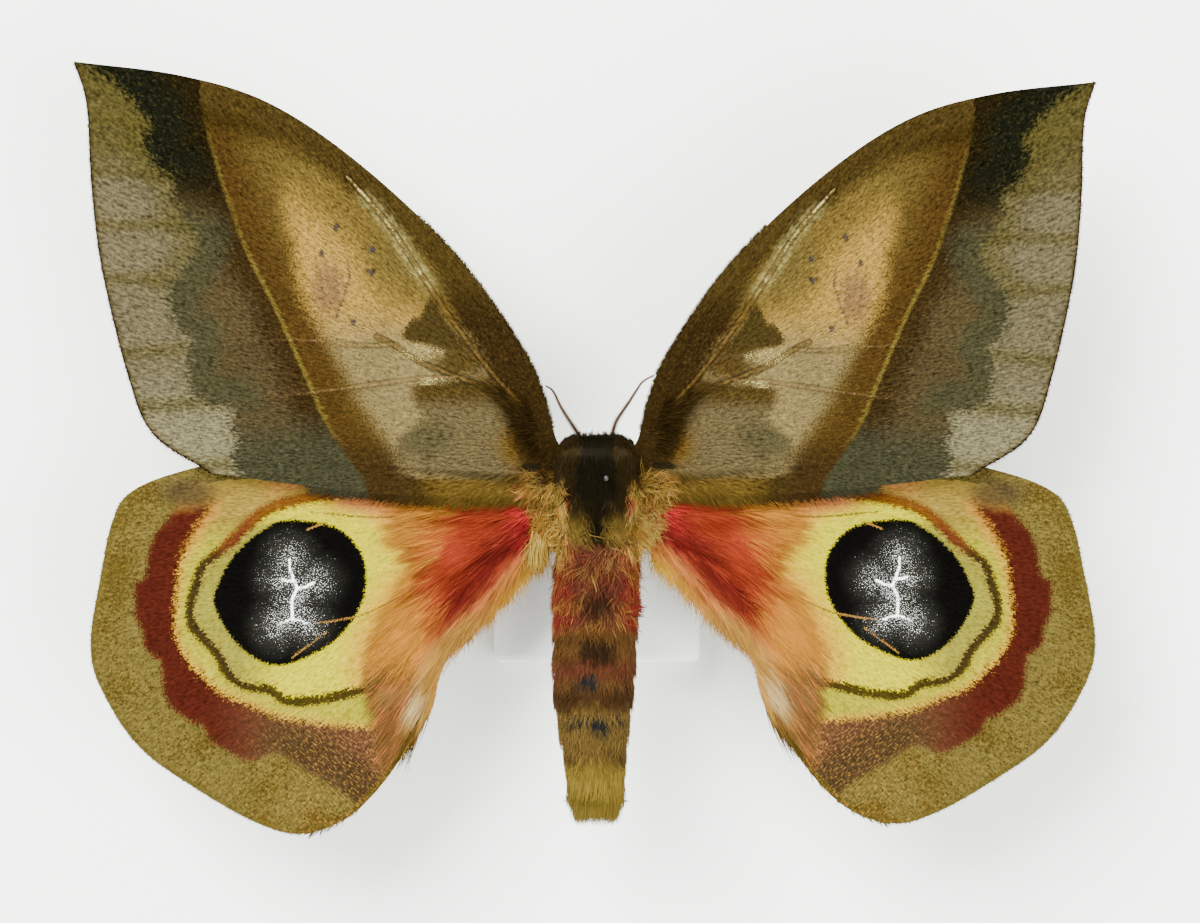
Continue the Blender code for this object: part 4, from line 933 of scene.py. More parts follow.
def forewing_finish():
    """Scales of the forewing: fields with ragged edges, laid over one another from the root outwards."""
    c = settings().forewing
    m = Finish("forewing scales and hair", 0.62)
    s = Scales(m)
    place, ragged, drift = s.place, s.ragged, s.drift
    x, y, _ = m.parts(place)
    line, scallop, inner = m.parts(m.attribute("marks_a"))
    lobes, triangle, vein = m.parts(m.attribute("marks_b"))
    front, rear, rim = m.parts(m.attribute("marks_c"))
    dots, main, thin = m.parts(m.attribute("marks_d"))
    field = m.mix(m.step(y + drift, 15.0, 22.0), c.pale, c.middle)
    olive = m.step(front + drift * 0.8 + ragged * 0.6, 11.5, 5.5) * m.step(y, 17.0, 22.0) * 0.85
    field = m.mix(olive, field, c.olive)
    field = m.mix(m.spot(place, (25.0, 26.0), (6.4, 8.0), 0.1) * 0.6, field, c.cell)
    field = m.mix(m.step(y + drift + ragged * 0.5, 35.0, 41.0), field, c.olive)
    field = m.mix(m.spot(place, (32.8, 23.4), (3.2, 5.0)), field, c.rose)
    field = m.mix(m.step(triangle + ragged * 0.4, -0.3, 0.3), field, c.triangle)
    field = m.mix(m.spot(place, (16.6, 14.4), (5.4, 3.0)), field, c.base_dark)
    base = m.mix(m.spot(place, (20.8, 5.0), (4.6, 3.4)), c.base, c.base_grey)
    base = m.mix(m.step(y + drift * 0.7, 8.2, 10.6), base, c.base_dark)
    base = m.mix(m.spot(place, (9.0, 4.2), (4.6, 4.4)), base, c.root)
    field = m.mix(m.step(lobes + ragged * 0.5, -0.9, 0.7), field, base)
    field = m.mix(m.step(x - y * 0.2 + drift, 11.5, 9.0) * m.step(y, 6.0, 9.0), field, c.base_dark)
    behind = m.mix(m.step(x + drift, 24.5, 17.0), c.rear_dark, c.rear)
    field = m.mix(m.step(rear + ragged * 0.4, 3.2, 1.9) * m.step(line, 0.5, -0.5), field, behind)
    band = m.mix(m.step(line + ragged + drift, -1.5, -7.0), c.band, c.band_light)
    field = m.mix(m.step(inner + ragged + drift * 0.5, -1.2, 1.6), field, band)
    gold = m.mix(m.step(line + drift, -2.0, -9.0), c.gold, c.band_light)
    gold = m.mix(m.step(y + drift * 1.2, 37.0, 43.5), gold, c.tip)
    field = m.mix(m.step(y - x * 0.25 + drift + ragged, 28.5, 34.0), field, gold)
    strip = m.mix(m.step(y + drift, 25.0, 19.0), c.front, c.front_root)
    broad = m.step(y, 27.0, 18.0) * 1.8
    field = m.mix(m.step(front + ragged * 0.5 + drift * 0.4 - broad, 4.6, 2.2), field, strip)
    outer = m.mix(m.step(line + ragged + drift, 5.0, 0.8), c.outer, c.outer_near)
    outer = m.mix(m.step(y + drift + ragged, 30.0, 38.0), outer, c.outer_front)
    outer = m.mix(m.step(y + drift, 9.0, 3.0), outer, c.outer_rear)
    lobe = m.step(scallop + ragged, -5.2, -2.4) * m.step(y, 35.0, 30.0) * m.step(y, 7.0, 10.0)
    outer = m.mix(lobe * 0.8, outer, c.lobe)
    apex = m.step(scallop + ragged, -6.5, -3.0) * m.step(y + drift + ragged * 0.7, 33.0, 40.0)
    outer = m.mix(apex, outer, c.apex)
    field = m.mix(m.step(line + ragged * 0.25, -0.3, 0.3), field, outer)
    band_low = m.step(y + drift, 7.0, 2.5) * m.step(inner + ragged * 0.5, -1.5, 1.0) * m.step(line, 0.4, -0.4)
    field = m.mix(band_low * 0.8, field, c.outer_near)
    pale_line = m.near(line + ragged * 0.2 + 0.1, 0.1, 0.3) * m.step(y, 46.0, 40.0) * m.step(y, 3.0, 9.0)
    field = m.mix(pale_line * (0.9 - m.step(y, 24.0, 34.0) * 0.45), field, c.line)
    border = m.mix(m.step(y + drift, 14.0, 6.0), c.border, c.border_rear)
    border = m.mix(m.step(scallop + ragged, 4.5, 0.8) * m.step(y, 20.0, 28.0) * 0.7, border, c.border_ochre)
    border = m.mix(m.step(vein + ragged, 1.5, 0.1) * 0.65, border, c.border_ochre)
    border = m.mix(m.step(y + drift * 0.7 + ragged, 36.0, 41.0) * 0.85, border, c.border_ochre)
    field = m.mix(m.step(scallop + ragged, -0.7, 0.8), field, border)
    field = m.mix(m.step(rim + ragged * 0.2, 0.75, 0.15) * 0.8, field, c.edge)
    field = m.mix(m.step(rim + ragged * 0.1, 0.24, 0.1), field, c.dark)
    skin = m.step(s.share, 0.01, 0.0)
    # Painted highlight: a sheen along the main veins near the front and glints on the vein crests, broken up
    # by a noise where scales are worn.
    wear_and_sheen = m.step(m.noise(place, 0.9, 2.0) + s.dust * 0.8, -0.04, 0.14)
    upper = m.step(y, 22.0, 26.0)
    sheen = m.step(main + s.streaks * 2.0, 1.5, 0.2) * upper * m.step(y + x * 0.5, 51.0, 46.0)
    field = m.mix(sheen * (0.12 + wear_and_sheen * 0.16) * skin, field, c.shine)
    field = m.mix(m.near(main - 0.3, 0.06, 0.16) * skin * 0.6, field, c.front_root)
    core = m.step(main + s.dust * 0.3, 0.24, 0.08) * skin
    field = m.mix(core * m.step(x, 7.0, 12.0) * 0.75, field, c.vein)
    field = m.mix(core * upper * wear_and_sheen * 0.6, field, c.shine)
    pale = m.step(thin + s.dust * 0.25, 0.2, 0.06) * skin
    field = m.mix(pale * m.step(x, 43.0, 32.0) * 0.5, field, c.rose)
    field = m.mix(m.near(thin - 0.28, 0.06, 0.14) * skin * m.step(x, 40.0, 26.0) * 0.45, field, c.triangle)
    field = m.mix(m.step(vein, 0.16, 0.05) * skin * m.step(front, 5.0, 7.0) * 0.16, field, c.triangle)
    field = m.mix(m.step(dots + ragged * 0.2, 0.62, 0.22) * 0.85, field, c.dots)
    # Painted highlight: small white glints in two patches beside the cell.
    painted_glints = m.step(m.noise(m.vector(x * 5.0, y * 8.0), 1.0, 1.0) + wear_and_sheen * 0.1, 0.1, 0.24) * skin
    field = m.mix(painted_glints * m.spot(place, (21.4, 15.5), (3.6, 1.3), 0.5) * 0.8, field, c.shine)
    field = m.mix(painted_glints * m.spot(place, (19.6, 12.0), (3.6, 0.6), 0.5) * 0.8, field, c.shine)
    field = m.mix(m.step(s.hues, 0.03, 0.2) * 0.05, field, c.glint)
    field = m.mix(m.step(s.dust - s.hues * 0.4, 0.02, 0.2) * 0.42, field, c.dark)
    curls = m.spot(place, (6.6, -0.9), (5.2, 2.3), 0.5) * m.step(s.streaks + s.clouds, -0.12, 0.12)
    field = m.mix(curls * 0.75, field, c.curls)
    # Painted shadow: a dark oval in the slit at the wing's root, in the colour of the dark scales.
    gap = m.spot(place, (8.0, 1.6), (1.8, 0.6), 0.6)
    field = m.mix(gap * 0.9, field, c.dark)
    field = m.lit(field, 1.0 + s.strokes * 2.2 + s.streaks * 0.8 + s.clouds * 0.35 + s.tone * 0.2)
    return s.lay(m, field, c.under)


def hindwing_finish():
    """Scales and hair of the hindwing: rings about the eyespot, the red band, the outer field, the hair."""
    c = settings().hindwing
    m = Finish("hindwing scales and hair", 0.62)
    s = Scales(m)
    place, ragged, drift = s.place, s.ragged, s.drift
    x, y, _ = m.parts(place)
    ring, band_in, band_out = m.parts(m.attribute("marks_a"))
    eyespot, crack, vein = m.parts(m.attribute("marks_b"))
    front, rear, rim = m.parts(m.attribute("marks_c"))
    fine, hair, streak = m.parts(m.attribute("marks_d"))
    beside = m.step(x + y * 0.3 + drift, 30.0, 38.0)
    field = m.mix(beside * m.step(y + drift, -3.5, -7.0), c.cream, c.green)
    field = m.mix(m.step(y - x * 0.12 + drift, -9.5, -6.5) * m.step(x, 36.0, 30.0), field, c.salmon)
    field = m.mix(m.step(hair + ragged, -5.0, 0.0) * 0.75, field, c.peach)
    field = m.mix(m.step(ring + ragged * 0.25, 0.15, -0.4), field, c.cream_ring)
    top = m.step(y + drift, -9.5, -4.5) * m.step(ring, 0.0, -0.8)
    field = m.mix(top, field, c.front)
    blush = m.step(ring, -0.4, -2.2) * m.step(x, 43.0, 35.0) * m.step(y, -8.0, -4.0)
    field = m.mix(blush * 0.8, field, c.salmon)
    band = m.mix(m.step(x + ragged + drift, 49.0, 36.0) * m.step(y, -22.0, -27.0), c.band, c.band_light)
    low = m.step(band_out + drift + ragged, 6.5, 3.0) * m.step(x + drift, 44.0, 37.0)
    band = m.mix(low * m.step(y, -22.0, -27.0), band, c.band_brown)
    faded = m.step(band_in + ragged * 0.7, 0.4, -0.4 - m.step(y, -14.0, -7.0) * 0.9)
    shown = m.step(y + drift, -1.5, -4.5)
    field = m.mix(m.step(band_in + ragged * 0.6, 1.3, -0.2) * shown * 0.6, field, c.peach)
    field = m.mix(faded * shown, field, band)
    outer = m.mix(m.step(s.clouds + s.hues * 0.7, -0.05, 0.16), c.outer, c.outer_ochre)
    outer = m.mix(m.step(s.dust + s.hues * 0.3, 0.04, 0.17) * 0.6, outer, c.fleck)
    field = m.mix(m.step(band_out + ragged * 0.6, 0.4, -0.5), field, outer)
    field = m.mix(m.spot(place, (50.0, -1.6), (5.5, 2.8)) * 0.85, field, c.front_dark)
    field = m.mix(m.step(rim + ragged * 0.2, 0.8, 0.2) * 0.75, field, c.edge)
    wide = 0.22 + m.noise(place, 0.35, 1.0) * 0.5
    field = m.mix(m.near(ring + ragged * 0.6, 0.2, 0.9) * m.step(y, -5.5, -9.5) * 0.5, field, c.hazel)
    dark_ring = m.near(ring + ragged * 0.4 + 0.1, wide + 0.1, 0.4) * m.step(y, -5.5, -9.5)
    field = m.mix(dark_ring * 0.9, field, c.ring)
    red_ring = m.step(y, -10.5, -7.0) * m.near(ring + ragged * 0.35 - 0.1, 0.35, 0.8)
    field = m.mix(red_ring * 0.92, field, c.ring_red)
    black = m.mix(m.step(crack + ragged * 0.5 + drift * 0.6, 5.0, 0.2), c.eyespot, c.eye_grey)
    # Painted highlight: white specks near the eyespot's streak; the streak itself is the wing's own pattern.
    painted_eye_glints = m.noise(m.vector(x * 10.0, y * 7.5), 1.0, 0.0) + m.noise(place, 0.7, 1.0) * 0.2 - crack * 0.055
    black = m.mix(m.step(painted_eye_glints, 0.08, 0.2) * m.step(crack, 5.5, 0.6) * 0.7, black, c.crack)
    split = crack + s.dust * 0.35 + m.step(m.maths("ABSOLUTE", y + 14.4, 0.0), 1.6, 3.2) * 0.03
    black = m.mix(m.step(split, 0.2, 0.1), black, c.crack)
    field = m.mix(m.step(eyespot + ragged * 0.3, -0.2, 0.15), field, black)
    scratch = m.mix(m.step(eyespot, -0.2, 0.2), c.ring, c.inner)
    field = m.mix(m.step(fine + s.dust * 0.4, 0.17, 0.05) * m.step(s.share, 0.01, 0.0) * 0.7, field, scratch)
    stray = m.noise(m.vector(x * 1.5 + y * 1.5, x * 4.0 - y * 4.0), 1.0, 0.0)
    field = m.mix(m.step(stray, 0.28, 0.34) * m.step(eyespot, -0.3, -0.6) * m.step(band_in, 0.0, 1.0)
                  * m.step(y, -12.0, -17.0) * 0.6, field, c.ring)
    coat = m.mix(m.step(x + drift, 12.0, 7.5), c.red, c.crimson)
    far = x + m.maths("ABSOLUTE", y + 12.0, 0.0) * 0.5 + drift
    coat = m.mix(m.step(far + s.streaks * 7.0 + s.tone * 0.8, 19.5, 26.5), coat, c.peach)
    coat = m.mix(m.step(rear + s.tone * 0.6 + s.streaks * 3.0, 3.2, 1.2), coat, c.orange)
    hazel = m.mix(m.step(s.tone + s.streaks * 4.0, 0.1, 0.9), c.hazel, c.orange)
    coat = m.mix(m.step(y + s.streaks * 7.0 + s.tone, -21.0, -24.5), coat, hazel)
    coat = m.mix(m.step(streak + s.streaks * 6.0 + s.tone * 0.5, 2.7, 0.4) * 0.85, coat, c.maroon)
    field = m.mix(m.step(hair + ragged, -1.6, 1.4), field, coat)
    strip = m.step(rear + ragged * 0.4, 2.4, 1.2) * m.step(y, -14.0, -18.0) * m.step(y, -31.0, -28.0)
    field = m.mix(strip, field, c.inner)
    low_edge = m.step(rear + ragged * 0.3, 1.0, 0.4) * m.step(y, -29.0, -32.0)
    field = m.mix(low_edge, field, c.outer_ochre)
    wisps = m.noise(m.vector(x * 1.2 + y * 1.2, x * 3.6 - y * 3.6), 1.0, 1.0) + s.dust * 0.3
    pale_hair = m.step(wisps, 0.02, 0.2) * m.step(x + drift, 46.0, 34.0)
    pale_hair = pale_hair * m.step(band_in, 0.3, -0.3)
    field = m.mix(pale_hair * m.step(y, -24.0, -27.0) * 0.42, field, c.inner)
    field = m.mix(m.step(wisps, -0.02, -0.2) * m.step(x + drift, 38.0, 30.0) * m.step(y, -27.0, -31.0) * 0.6,
                  field, c.fleck)
    crease = m.spot(place, (21.9, -27.0), (1.3, 2.8), 0.4) * m.step(rear, 2.6, 1.6)
    field = m.mix(crease * 0.8, field, c.paper)
    field = m.lit(field, 1.0 + s.strokes * 1.5 + s.streaks * 0.5 + s.clouds * 0.3 + s.tone * 0.16)
    return s.lay(m, field, c.under)


def forewing():
    return Wing("forewing", FOREWING_LEVEL, smooth(FOREWING_FRONT), smooth(FOREWING_OUTER),
                smooth(FOREWING_REAR), FOREWING_VEINS, FOREWING_SET_RIGHT, FOREWING_ROOT,
                finishes["forewing"], forewing_marks)


def hindwing():
    whole = smooth(HINDWING_FRONT + HINDWING_OUTER[1:] + HINDWING_REAR[1:])
    first = 8 * (len(HINDWING_FRONT) - 1)
    second = first + 8 * (len(HINDWING_OUTER) - 1)
    return Wing("hindwing", HINDWING_LEVEL, whole[:first + 1], whole[first:second + 1], whole[second:],
                HINDWING_VEINS, HINDWING_SET_RIGHT, HINDWING_ROOT, finishes["hindwing"], hindwing_marks)


finishes = {}


def wing_hair(wing, name, plan, ways, lengths, side_name, side, seed, width=1.0, **shape):
    """Tufts rooted on a wing's upper surface, their ways given on the shared plan.

    Each takes the pattern's colour from the place under its middle, so that the pattern stays where it is.
    """
    roots, normals, height = wing.surface(plan, side)
    middle = plan + 0.5 * lengths[:, None] * ways
    ways = along_surface(np.column_stack([side * ways[:, 0], ways[:, 1], np.zeros(len(plan))]), normals)
    widths = tuft_widths(len(plan), width, seed + 5)
    piece = tufts(f"{name}_{side_name}", roots, normals, ways, lengths, widths, wing.finish,
                  wing.marks(middle, height), wing.bake_place(plan), seed + 9, **shape)
    settle(piece, f"{wing.kind}_scales")


def tuft_widths(number, width, seed):
    draw = np.random.default_rng(seed)
    return width * settings().sizes.fur_width * draw.uniform(0.6, 1.2, number)


def turned(ways, angles):
    """Plan directions turned by angles in radians."""
    c, s = np.cos(angles), np.sin(angles)
    return np.column_stack([ways[:, 0] * c - ways[:, 1] * s, ways[:, 0] * s + ways[:, 1] * c])


def hairs(number):
    return number


def make_fringe(wing, edge, lean, low, high, length, name, side_name, side, seed):
    """Short tufts along a stretch of a wing's edge, leaning outwards from it."""
    number = hairs(settings().sizes.fringe_hairs)
    draw = np.random.default_rng(seed)
    at = draw.uniform(low, high, number)
    line = spaced(edge, FRINGE_STEPS)
    index = np.clip((at * FRINGE_STEPS).astype(int), 0, FRINGE_STEPS - 1)
    ahead = unit(line[index + 1] - line[index])
    out = turned(ahead, np.full(number, math.pi / 2))
    out *= np.where(within(line[index] + 0.3 * out, wing.outline), -1.0, 1.0)[:, None]
    plan = line[index] - out * draw.uniform(0.02, 0.35, number)[:, None]
    ways = turned(unit(out + np.array(lean)), draw.normal(0, 0.2, number))
    wing_hair(wing, name, plan, ways, length * draw.uniform(0.6, 1.1, number), side_name, side, seed,
              width=0.8, rise=0.05, pull=0.2, clump=0.5, swing=0.05, rings=1)


def make_forewing_hair():
    """Hair on the base runs outwards from the root; along the rear edge it hangs over the hindwing."""
    wing = forewing()
    sizes = settings().sizes
    area = np.array([(5.0, 6.5), (8.2, 10.0), (13.0, 11.6), (18.5, 11.2), (20.0, 8.6), (22.0, 5.0)]
                    + [(24.5, 2.0), (26.0, -0.6), (14.0, -1.9), (5.0, -1.6)])
    for side_name, side in SIDES:
        seed = 40 + side
        draw = np.random.default_rng(seed)
        plan = drawn_within(area, hairs(sizes.base_hairs), seed)
        ways = turned(unit(unit(plan - (2.0, 5.5)) + (0.2, -0.2)),
                      draw.normal(0, 0.1, len(plan)) + 0.2 * ripple(plan, 8.0, seed))
        lengths = draw.uniform(1.2, 2.8, len(plan)) * np.clip(1.25 - plan[:, 0] / 40.0, 0.5, 1.2)
        wing_hair(wing, "forewing_base_hair", plan, ways, lengths, side_name, side, seed, width=0.75,
                  rise=0.08, pull=0.35, clump=0.9, rings=2)
        number = hairs(sizes.rear_hairs)
        edge = spaced(wing.rear, EDGE_STEPS)
        at = draw.uniform(0.3, 0.97, number)
        inwards = np.column_stack([draw.normal(0, 0.2, number), draw.uniform(0.05, 2.8, number)])
        plan = edge[(at * EDGE_STEPS).astype(int)] + inwards
        ways = unit(np.column_stack([np.full(number, 0.8), -0.35 - draw.uniform(0, 0.45, number)]))
        lengths = draw.uniform(1.6, 3.3, number) * np.clip(0.35 + at, 0.5, 1.0)
        wing_hair(wing, "forewing_rear_hair", plan, turned(ways, draw.normal(0, 0.12, number)), lengths,
                  side_name, side, seed + 2, width=0.8, rise=0.1, pull=0.5, clump=1.1, droop=0.1, rings=2)
        make_fringe(wing, wing.outer, (0.0, -0.2), 0.0, 1.0, 0.42, "forewing_outer_fringe", side_name, side,
                    seed + 4)
        make_fringe(wing, wing.front, (0.3, 0.3), 0.04, 0.42, 0.6, "forewing_front_fringe", side_name, side,
                    seed + 6)


def make_hindwing_hair():
    """Red hair streams from the root over the inner half of the hindwing and past its inner edge."""
    wing = hindwing()
    sizes = settings().sizes
    root = np.array((4.5, -1.8))
    for side_name, side in SIDES:
        seed = 60 + side
        draw = np.random.default_rng(seed)
        number = hairs(sizes.red_hairs)
        plan = root + (drawn_within(loop(RED_HAIR), number, seed) - root) * 0.88
        near = plan - root
        ways = turned(unit(near), draw.normal(-0.05, 0.07, number) + 0.22 * ripple(plan, 8.0, seed))
        lengths = draw.uniform(3.6, 6.6, number) * np.clip(0.5 + np.hypot(*near.T) / 26.0, 0.5, 1.0)
        wing_hair(wing, "hindwing_red_hair", plan, ways, lengths, side_name, side, seed, width=0.8,
                  rise=0.08, pull=0.75, clump=1.7, swing=0.03)
        number = hairs(sizes.rear_hairs)
        edge = spaced(wing.rear, EDGE_STEPS)
        at = draw.uniform(0.01, 0.93, number) ** 0.8
        inwards = np.column_stack([draw.uniform(0.0, 0.9, number), draw.uniform(0.0, 0.9, number)])
        plan = edge[(at * EDGE_STEPS).astype(int)] + inwards
        ways = unit(np.column_stack([0.75 - 0.6 * at, -0.55 - 0.6 * at]))
        ways = turned(ways, draw.normal(0.0, 0.2, number) + 0.25 * ripple(plan, 5.0, seed + 1))
        lengths = draw.uniform(1.2, 3.8, number) * np.clip(at * 1.3, 0.42, 1.0)
        wing_hair(wing, "hindwing_edge_hair", plan, ways, lengths, side_name, side, seed + 2, width=0.8,
                  rise=0.1, pull=0.6, clump=1.3, droop=0.1, rings=2)
        make_fringe(wing, wing.outer, (0.0, 0.0), 0.0, 1.0, 0.4, "hindwing_outer_fringe", side_name, side,
                    seed + 4)


# Body

def body_section(y):
    """Centre x, half width, underside and top of the body's skin at each y."""
    rows = smooth(BODY, 8)
    return [np.interp(y, rows[:, 0], rows[:, k]) for k in range(1, 5)]


def body_skin():
    """The body as a lofted tube of squarish ovals, with rings on the abdomen and shoulder flaps."""
    rear, front = BODY_RINGS
    y = np.r_[np.linspace(BODY[0][0], ABDOMEN_FRONT, rear),
              np.linspace(ABDOMEN_FRONT + 0.2, BODY[-1][0], front)]
    centre, half_width, low, high = (part[:, None] for part in body_section(y))
    angle = 2 * math.pi * np.arange(BODY_SIDES)[None] / BODY_SIDES
    share = np.clip((y - ABDOMEN_REAR) / (ABDOMEN_FRONT - ABDOMEN_REAR), 0, 1) * SEGMENTS
    is_ring = (y > ABDOMEN_REAR) & (y < ABDOMEN_FRONT)
    ring = 0.16 * np.where(is_ring, 1.0 - share % 1.0, 0.3)[:, None]
    reach = np.hypot((y[:, None] - TEGULA_Y) / TEGULA_HALF_LENGTH,
                     (np.minimum(angle, np.abs(math.pi - angle)) - TEGULA_ANGLE) / TEGULA_HALF_ANGLE)
    flap = TEGULA_HEIGHT * np.clip(3.0 * (1 - reach), 0, 1) * (1 - 0.3 * reach**2)
    out = ring + flap
    power = 2 / SECTION_POWER
    c, s = np.cos(angle), np.sin(angle)
    x = centre + np.sign(c) * np.abs(c) ** power * (half_width + out)
    z = (low + high) / 2 + np.sign(s) * np.abs(s) ** power * ((high - low) / 2 + out)
    rings = np.stack([x, np.broadcast_to(y[:, None], x.shape), z], axis=-1)
    return closed_tube(rings[:, ::-1])


def oval(centre, radii, rows=24, columns=32):
    """A closed oval body about a centre: rings whose radius is the sine of the way from pole to pole."""
    polar = np.linspace(0.03, math.pi - 0.03, rows)[:, None]
    turn = 2 * math.pi * np.arange(columns)[None] / columns
    shape = np.stack([np.sin(polar) * np.cos(turn), -np.cos(polar) + 0 * turn, -np.sin(polar) * np.sin(turn)],
                     axis=-1)
    return closed_tube(np.array(centre) + shape * radii)


def join(parts):
    """Points and faces of several closed forms as one mesh."""
    points, quads, tris, start = [], [], [], 0
    for form, (sides, ends) in parts:
        points.append(form)
        quads.append(sides + start)
        tris.append(ends + start)
        start += len(form)
    return np.vstack(points), [np.vstack(quads), np.vstack(tris)]


def body_marks(points):
    return {"place": points}


def make_skin():
    """Head, thorax, abdomen and palps fused into one closed skin, which the fur is then rooted on."""
    forms = [body_skin(), oval(HEAD_CENTRE, HEAD_RADII)]
    for _, side in SIDES:
        forms.append(oval((HEAD_CENTRE[0] + side * PALP_CENTRE[0], *PALP_CENTRE[1:]), PALP_RADII, 14, 18))
    points, faces = join(forms)
    piece = new_piece("body_skin", points, faces, finishes["body"])
    fuse = piece.modifiers.new("fuse", "REMESH")
    fuse.mode = "VOXEL"
    fuse.voxel_size = SKIN_CELL * MM
    soften = piece.modifiers.new("soften", "SMOOTH")
    soften.factor = 0.6
    soften.iterations = 3
    fused = bpy.data.meshes.new_from_object(piece.evaluated_get(bpy.context.evaluated_depsgraph_get()))
    piece.modifiers.clear()
    spare, piece.data = piece.data, fused
    bpy.data.meshes.remove(spare)
    fused.name = "body_skin"
    fused.shade_smooth()
    layer = fused.attributes.new("place", "FLOAT_VECTOR", "POINT")
    layer.data.foreach_set("vector", gathered(fused.vertices, "co", 3).ravel() / MM)
    fused.materials.clear()
    fused.materials.append(finishes["body"].material)
    settle(piece, "dark_fur", "head", "thorax", "abdomen", "tegula_left", "tegula_right", "palp_left",
           "palp_right")


def skin_triangles():
    """Corners of the skin's triangles in millimetres, and the normals at those corners."""
    mesh = bpy.data.objects["body_skin"].data
    mesh.calc_loop_triangles()
    index = gathered(mesh.loop_triangles, "vertices", 3, np.int32)
    points = gathered(mesh.vertices, "co", 3)
    normals = gathered(mesh.vertex_normals, "vector", 3)
    return points[index] / MM, normals[index]


def scattered(corners, normals, density, number, seed):
    """Random places on triangles, in proportion to their area times a density at their middles."""
    draw = np.random.default_rng(seed)
    area = np.linalg.norm(np.cross(corners[:, 1] - corners[:, 0], corners[:, 2] - corners[:, 0]), axis=1)
    weight = area * density(corners.mean(axis=1))
    pick = draw.choice(len(corners), number, p=weight / weight.sum())
    a, b = draw.uniform(0, 1, (2, number, 1))
    is_over = a + b > 1
    a, b = np.where(is_over, 1 - a, a), np.where(is_over, 1 - b, b)
    share = np.stack([1 - a - b, a, b], axis=1)
    return np.sum(corners[pick] * share, axis=1), unit(np.sum(normals[pick] * share, axis=1))


def is_head(points):
    """Whether each point is on the head, which lies before and under the thorax."""
    away = (points - HEAD_CENTRE) / HEAD_RADII
    return (np.linalg.norm(away, axis=1) < 1.25) & (points[:, 2] < 19.2) & (points[:, 1] > 1.5)


def body_places(points):
    """Places on the unwrapped body: the turn round it and the way along it."""
    turn = np.arctan2(points[:, 0], points[:, 2] - BODY_AXIS_HEIGHT) / (2 * math.pi) + 0.5
    along = (points[:, 1] + BODY_MAP_REAR) / BODY_MAP_LENGTH
    return BAKE_EDGE + (1 - 2 * BAKE_EDGE) * np.column_stack([turn, along])


def coat(name, roots, normals, ways, lengths, seed, width=1.0, **shape):
    """Tufts of the body's fur, their ways laid along the surface."""
    widths = tuft_widths(len(roots), width, seed)
    piece = tufts(name, roots, normals, along_surface(ways, normals), lengths, widths, finishes["body"],
                  body_marks(roots), body_places(roots), seed + 1, **shape)
    settle(piece, "dark_fur" if "thorax" in name or "head" in name else "tan_fur")


def make_body_fur():
    """Fur of thorax, head, abdomen and brush. All of it takes its turns from one run of random draws."""
    skin = skin_triangles()
    draw = np.random.default_rng(7)
    make_thorax_fur(skin, draw)
    make_abdomen_fur(skin, draw)
    make_brush_fur(skin, draw)


def make_thorax_fur(skin, draw):
    """Dark fur: backwards over the thorax, forwards in the collar, downwards over the face."""
    number = hairs(settings().sizes.thorax_hairs)

    def on_thorax(middles):
        return np.where(middles[:, 1] > ABDOMEN_FRONT, 1.0, 0.0) * np.where(is_head(middles), 2.0, 1.0)

    roots, facing = scattered(*skin, on_thorax, number, 8)
    face = is_head(roots)
    x, y, z = roots.T
    ways = np.column_stack([0.08 * x, np.full(number, -1.0), 0.15 * (z - 20.0)])
    ways[face] = np.column_stack([0.15 * x, 0.5 + 0 * x, -0.8 + 0 * x])[face]
    collar = (y > 3.4) & ~face
    ways[collar] = np.column_stack([0.12 * x, 1.0 + 0 * x, 0.5 + 0 * x])[collar]
    ways += draw.normal(0, 0.14, ways.shape)
    ways += 0.35 * np.column_stack([ripple(roots, 3.0, 31), np.zeros(number), ripple(roots, 3.0, 32)])
    lengths = draw.uniform(1.3, 2.2, number)
    lengths *= np.where(face, 0.5, np.where(collar, 0.75, np.where(y < -1.5, 1.4, 0.8)))
    shape = {"rise": 0.3, "clump": 0.7, "pull": 0.35, "swing": 0.1, "rings": 2}
    coat("thorax_fur", roots[~face], facing[~face], ways[~face], lengths[~face], 20, width=0.9, **shape)
    coat("head_fur", roots[face], facing[face], ways[face], lengths[face], 22, width=0.8, rise=0.3, clump=0.5,
         pull=0.3, rings=2)


def make_abdomen_fur(skin, draw):
    """Fur that lies backwards over each ring's rear edge, shaggy and curled near the thorax."""
    number = hairs(settings().sizes.abdomen_hairs)

    def on_abdomen(middles):
        return np.where((middles[:, 1] < ABDOMEN_FRONT + 1.0) & (middles[:, 1] > -36.5), 1.0, 0.0)

    roots, facing = scattered(*skin, on_abdomen, number, 9)
    x, y, z = roots.T
    shaggy = np.clip((y + 20.0) / 8.0, 0, 1)
    ways = np.column_stack([0.05 * x, np.full(number, -1.0), np.zeros(number)])
    ways += draw.normal(0, 0.18, ways.shape) * (1 + shaggy)[:, None]
    curl = 0.9 * shaggy + 0.3
    ways += curl[:, None] * np.column_stack([ripple(roots, 4.0, 33), 0 * x, ripple(roots, 4.0, 34)])
    lengths = draw.uniform(1.3, 2.4, number) * np.where(z < 16.5, 0.7, 1.0) * (0.85 + 0.45 * shaggy)
    coat("abdomen_fur", roots, facing, ways, lengths, 24, width=0.95, rise=0.42, clump=0.9, pull=0.5,
         swing=0.2)


def make_brush_fur(skin, draw):
    """Long fur at the abdomen's tip, cut off nearly square."""
    number = hairs(settings().sizes.brush_hairs)

    def on_tip(middles):
        return np.where(middles[:, 1] < -35.0, 1.0, 0.0)

    roots, facing = scattered(*skin, on_tip, number, 10)
    x, y, z = roots.T
    ways = np.column_stack([0.1 * (x + 0.2), np.full(number, -1.0), 0.06 * (z - 17.6)])
    ways += draw.normal(0, 0.09, ways.shape)
    lengths = (y + 42.6) * draw.uniform(0.7, 1.02, number)
    lengths = np.clip(lengths, 1.4, 5.2)
    coat("brush_fur", roots, facing, ways, lengths, 26, rise=0.16, clump=0.8, pull=0.4, swing=0.05)


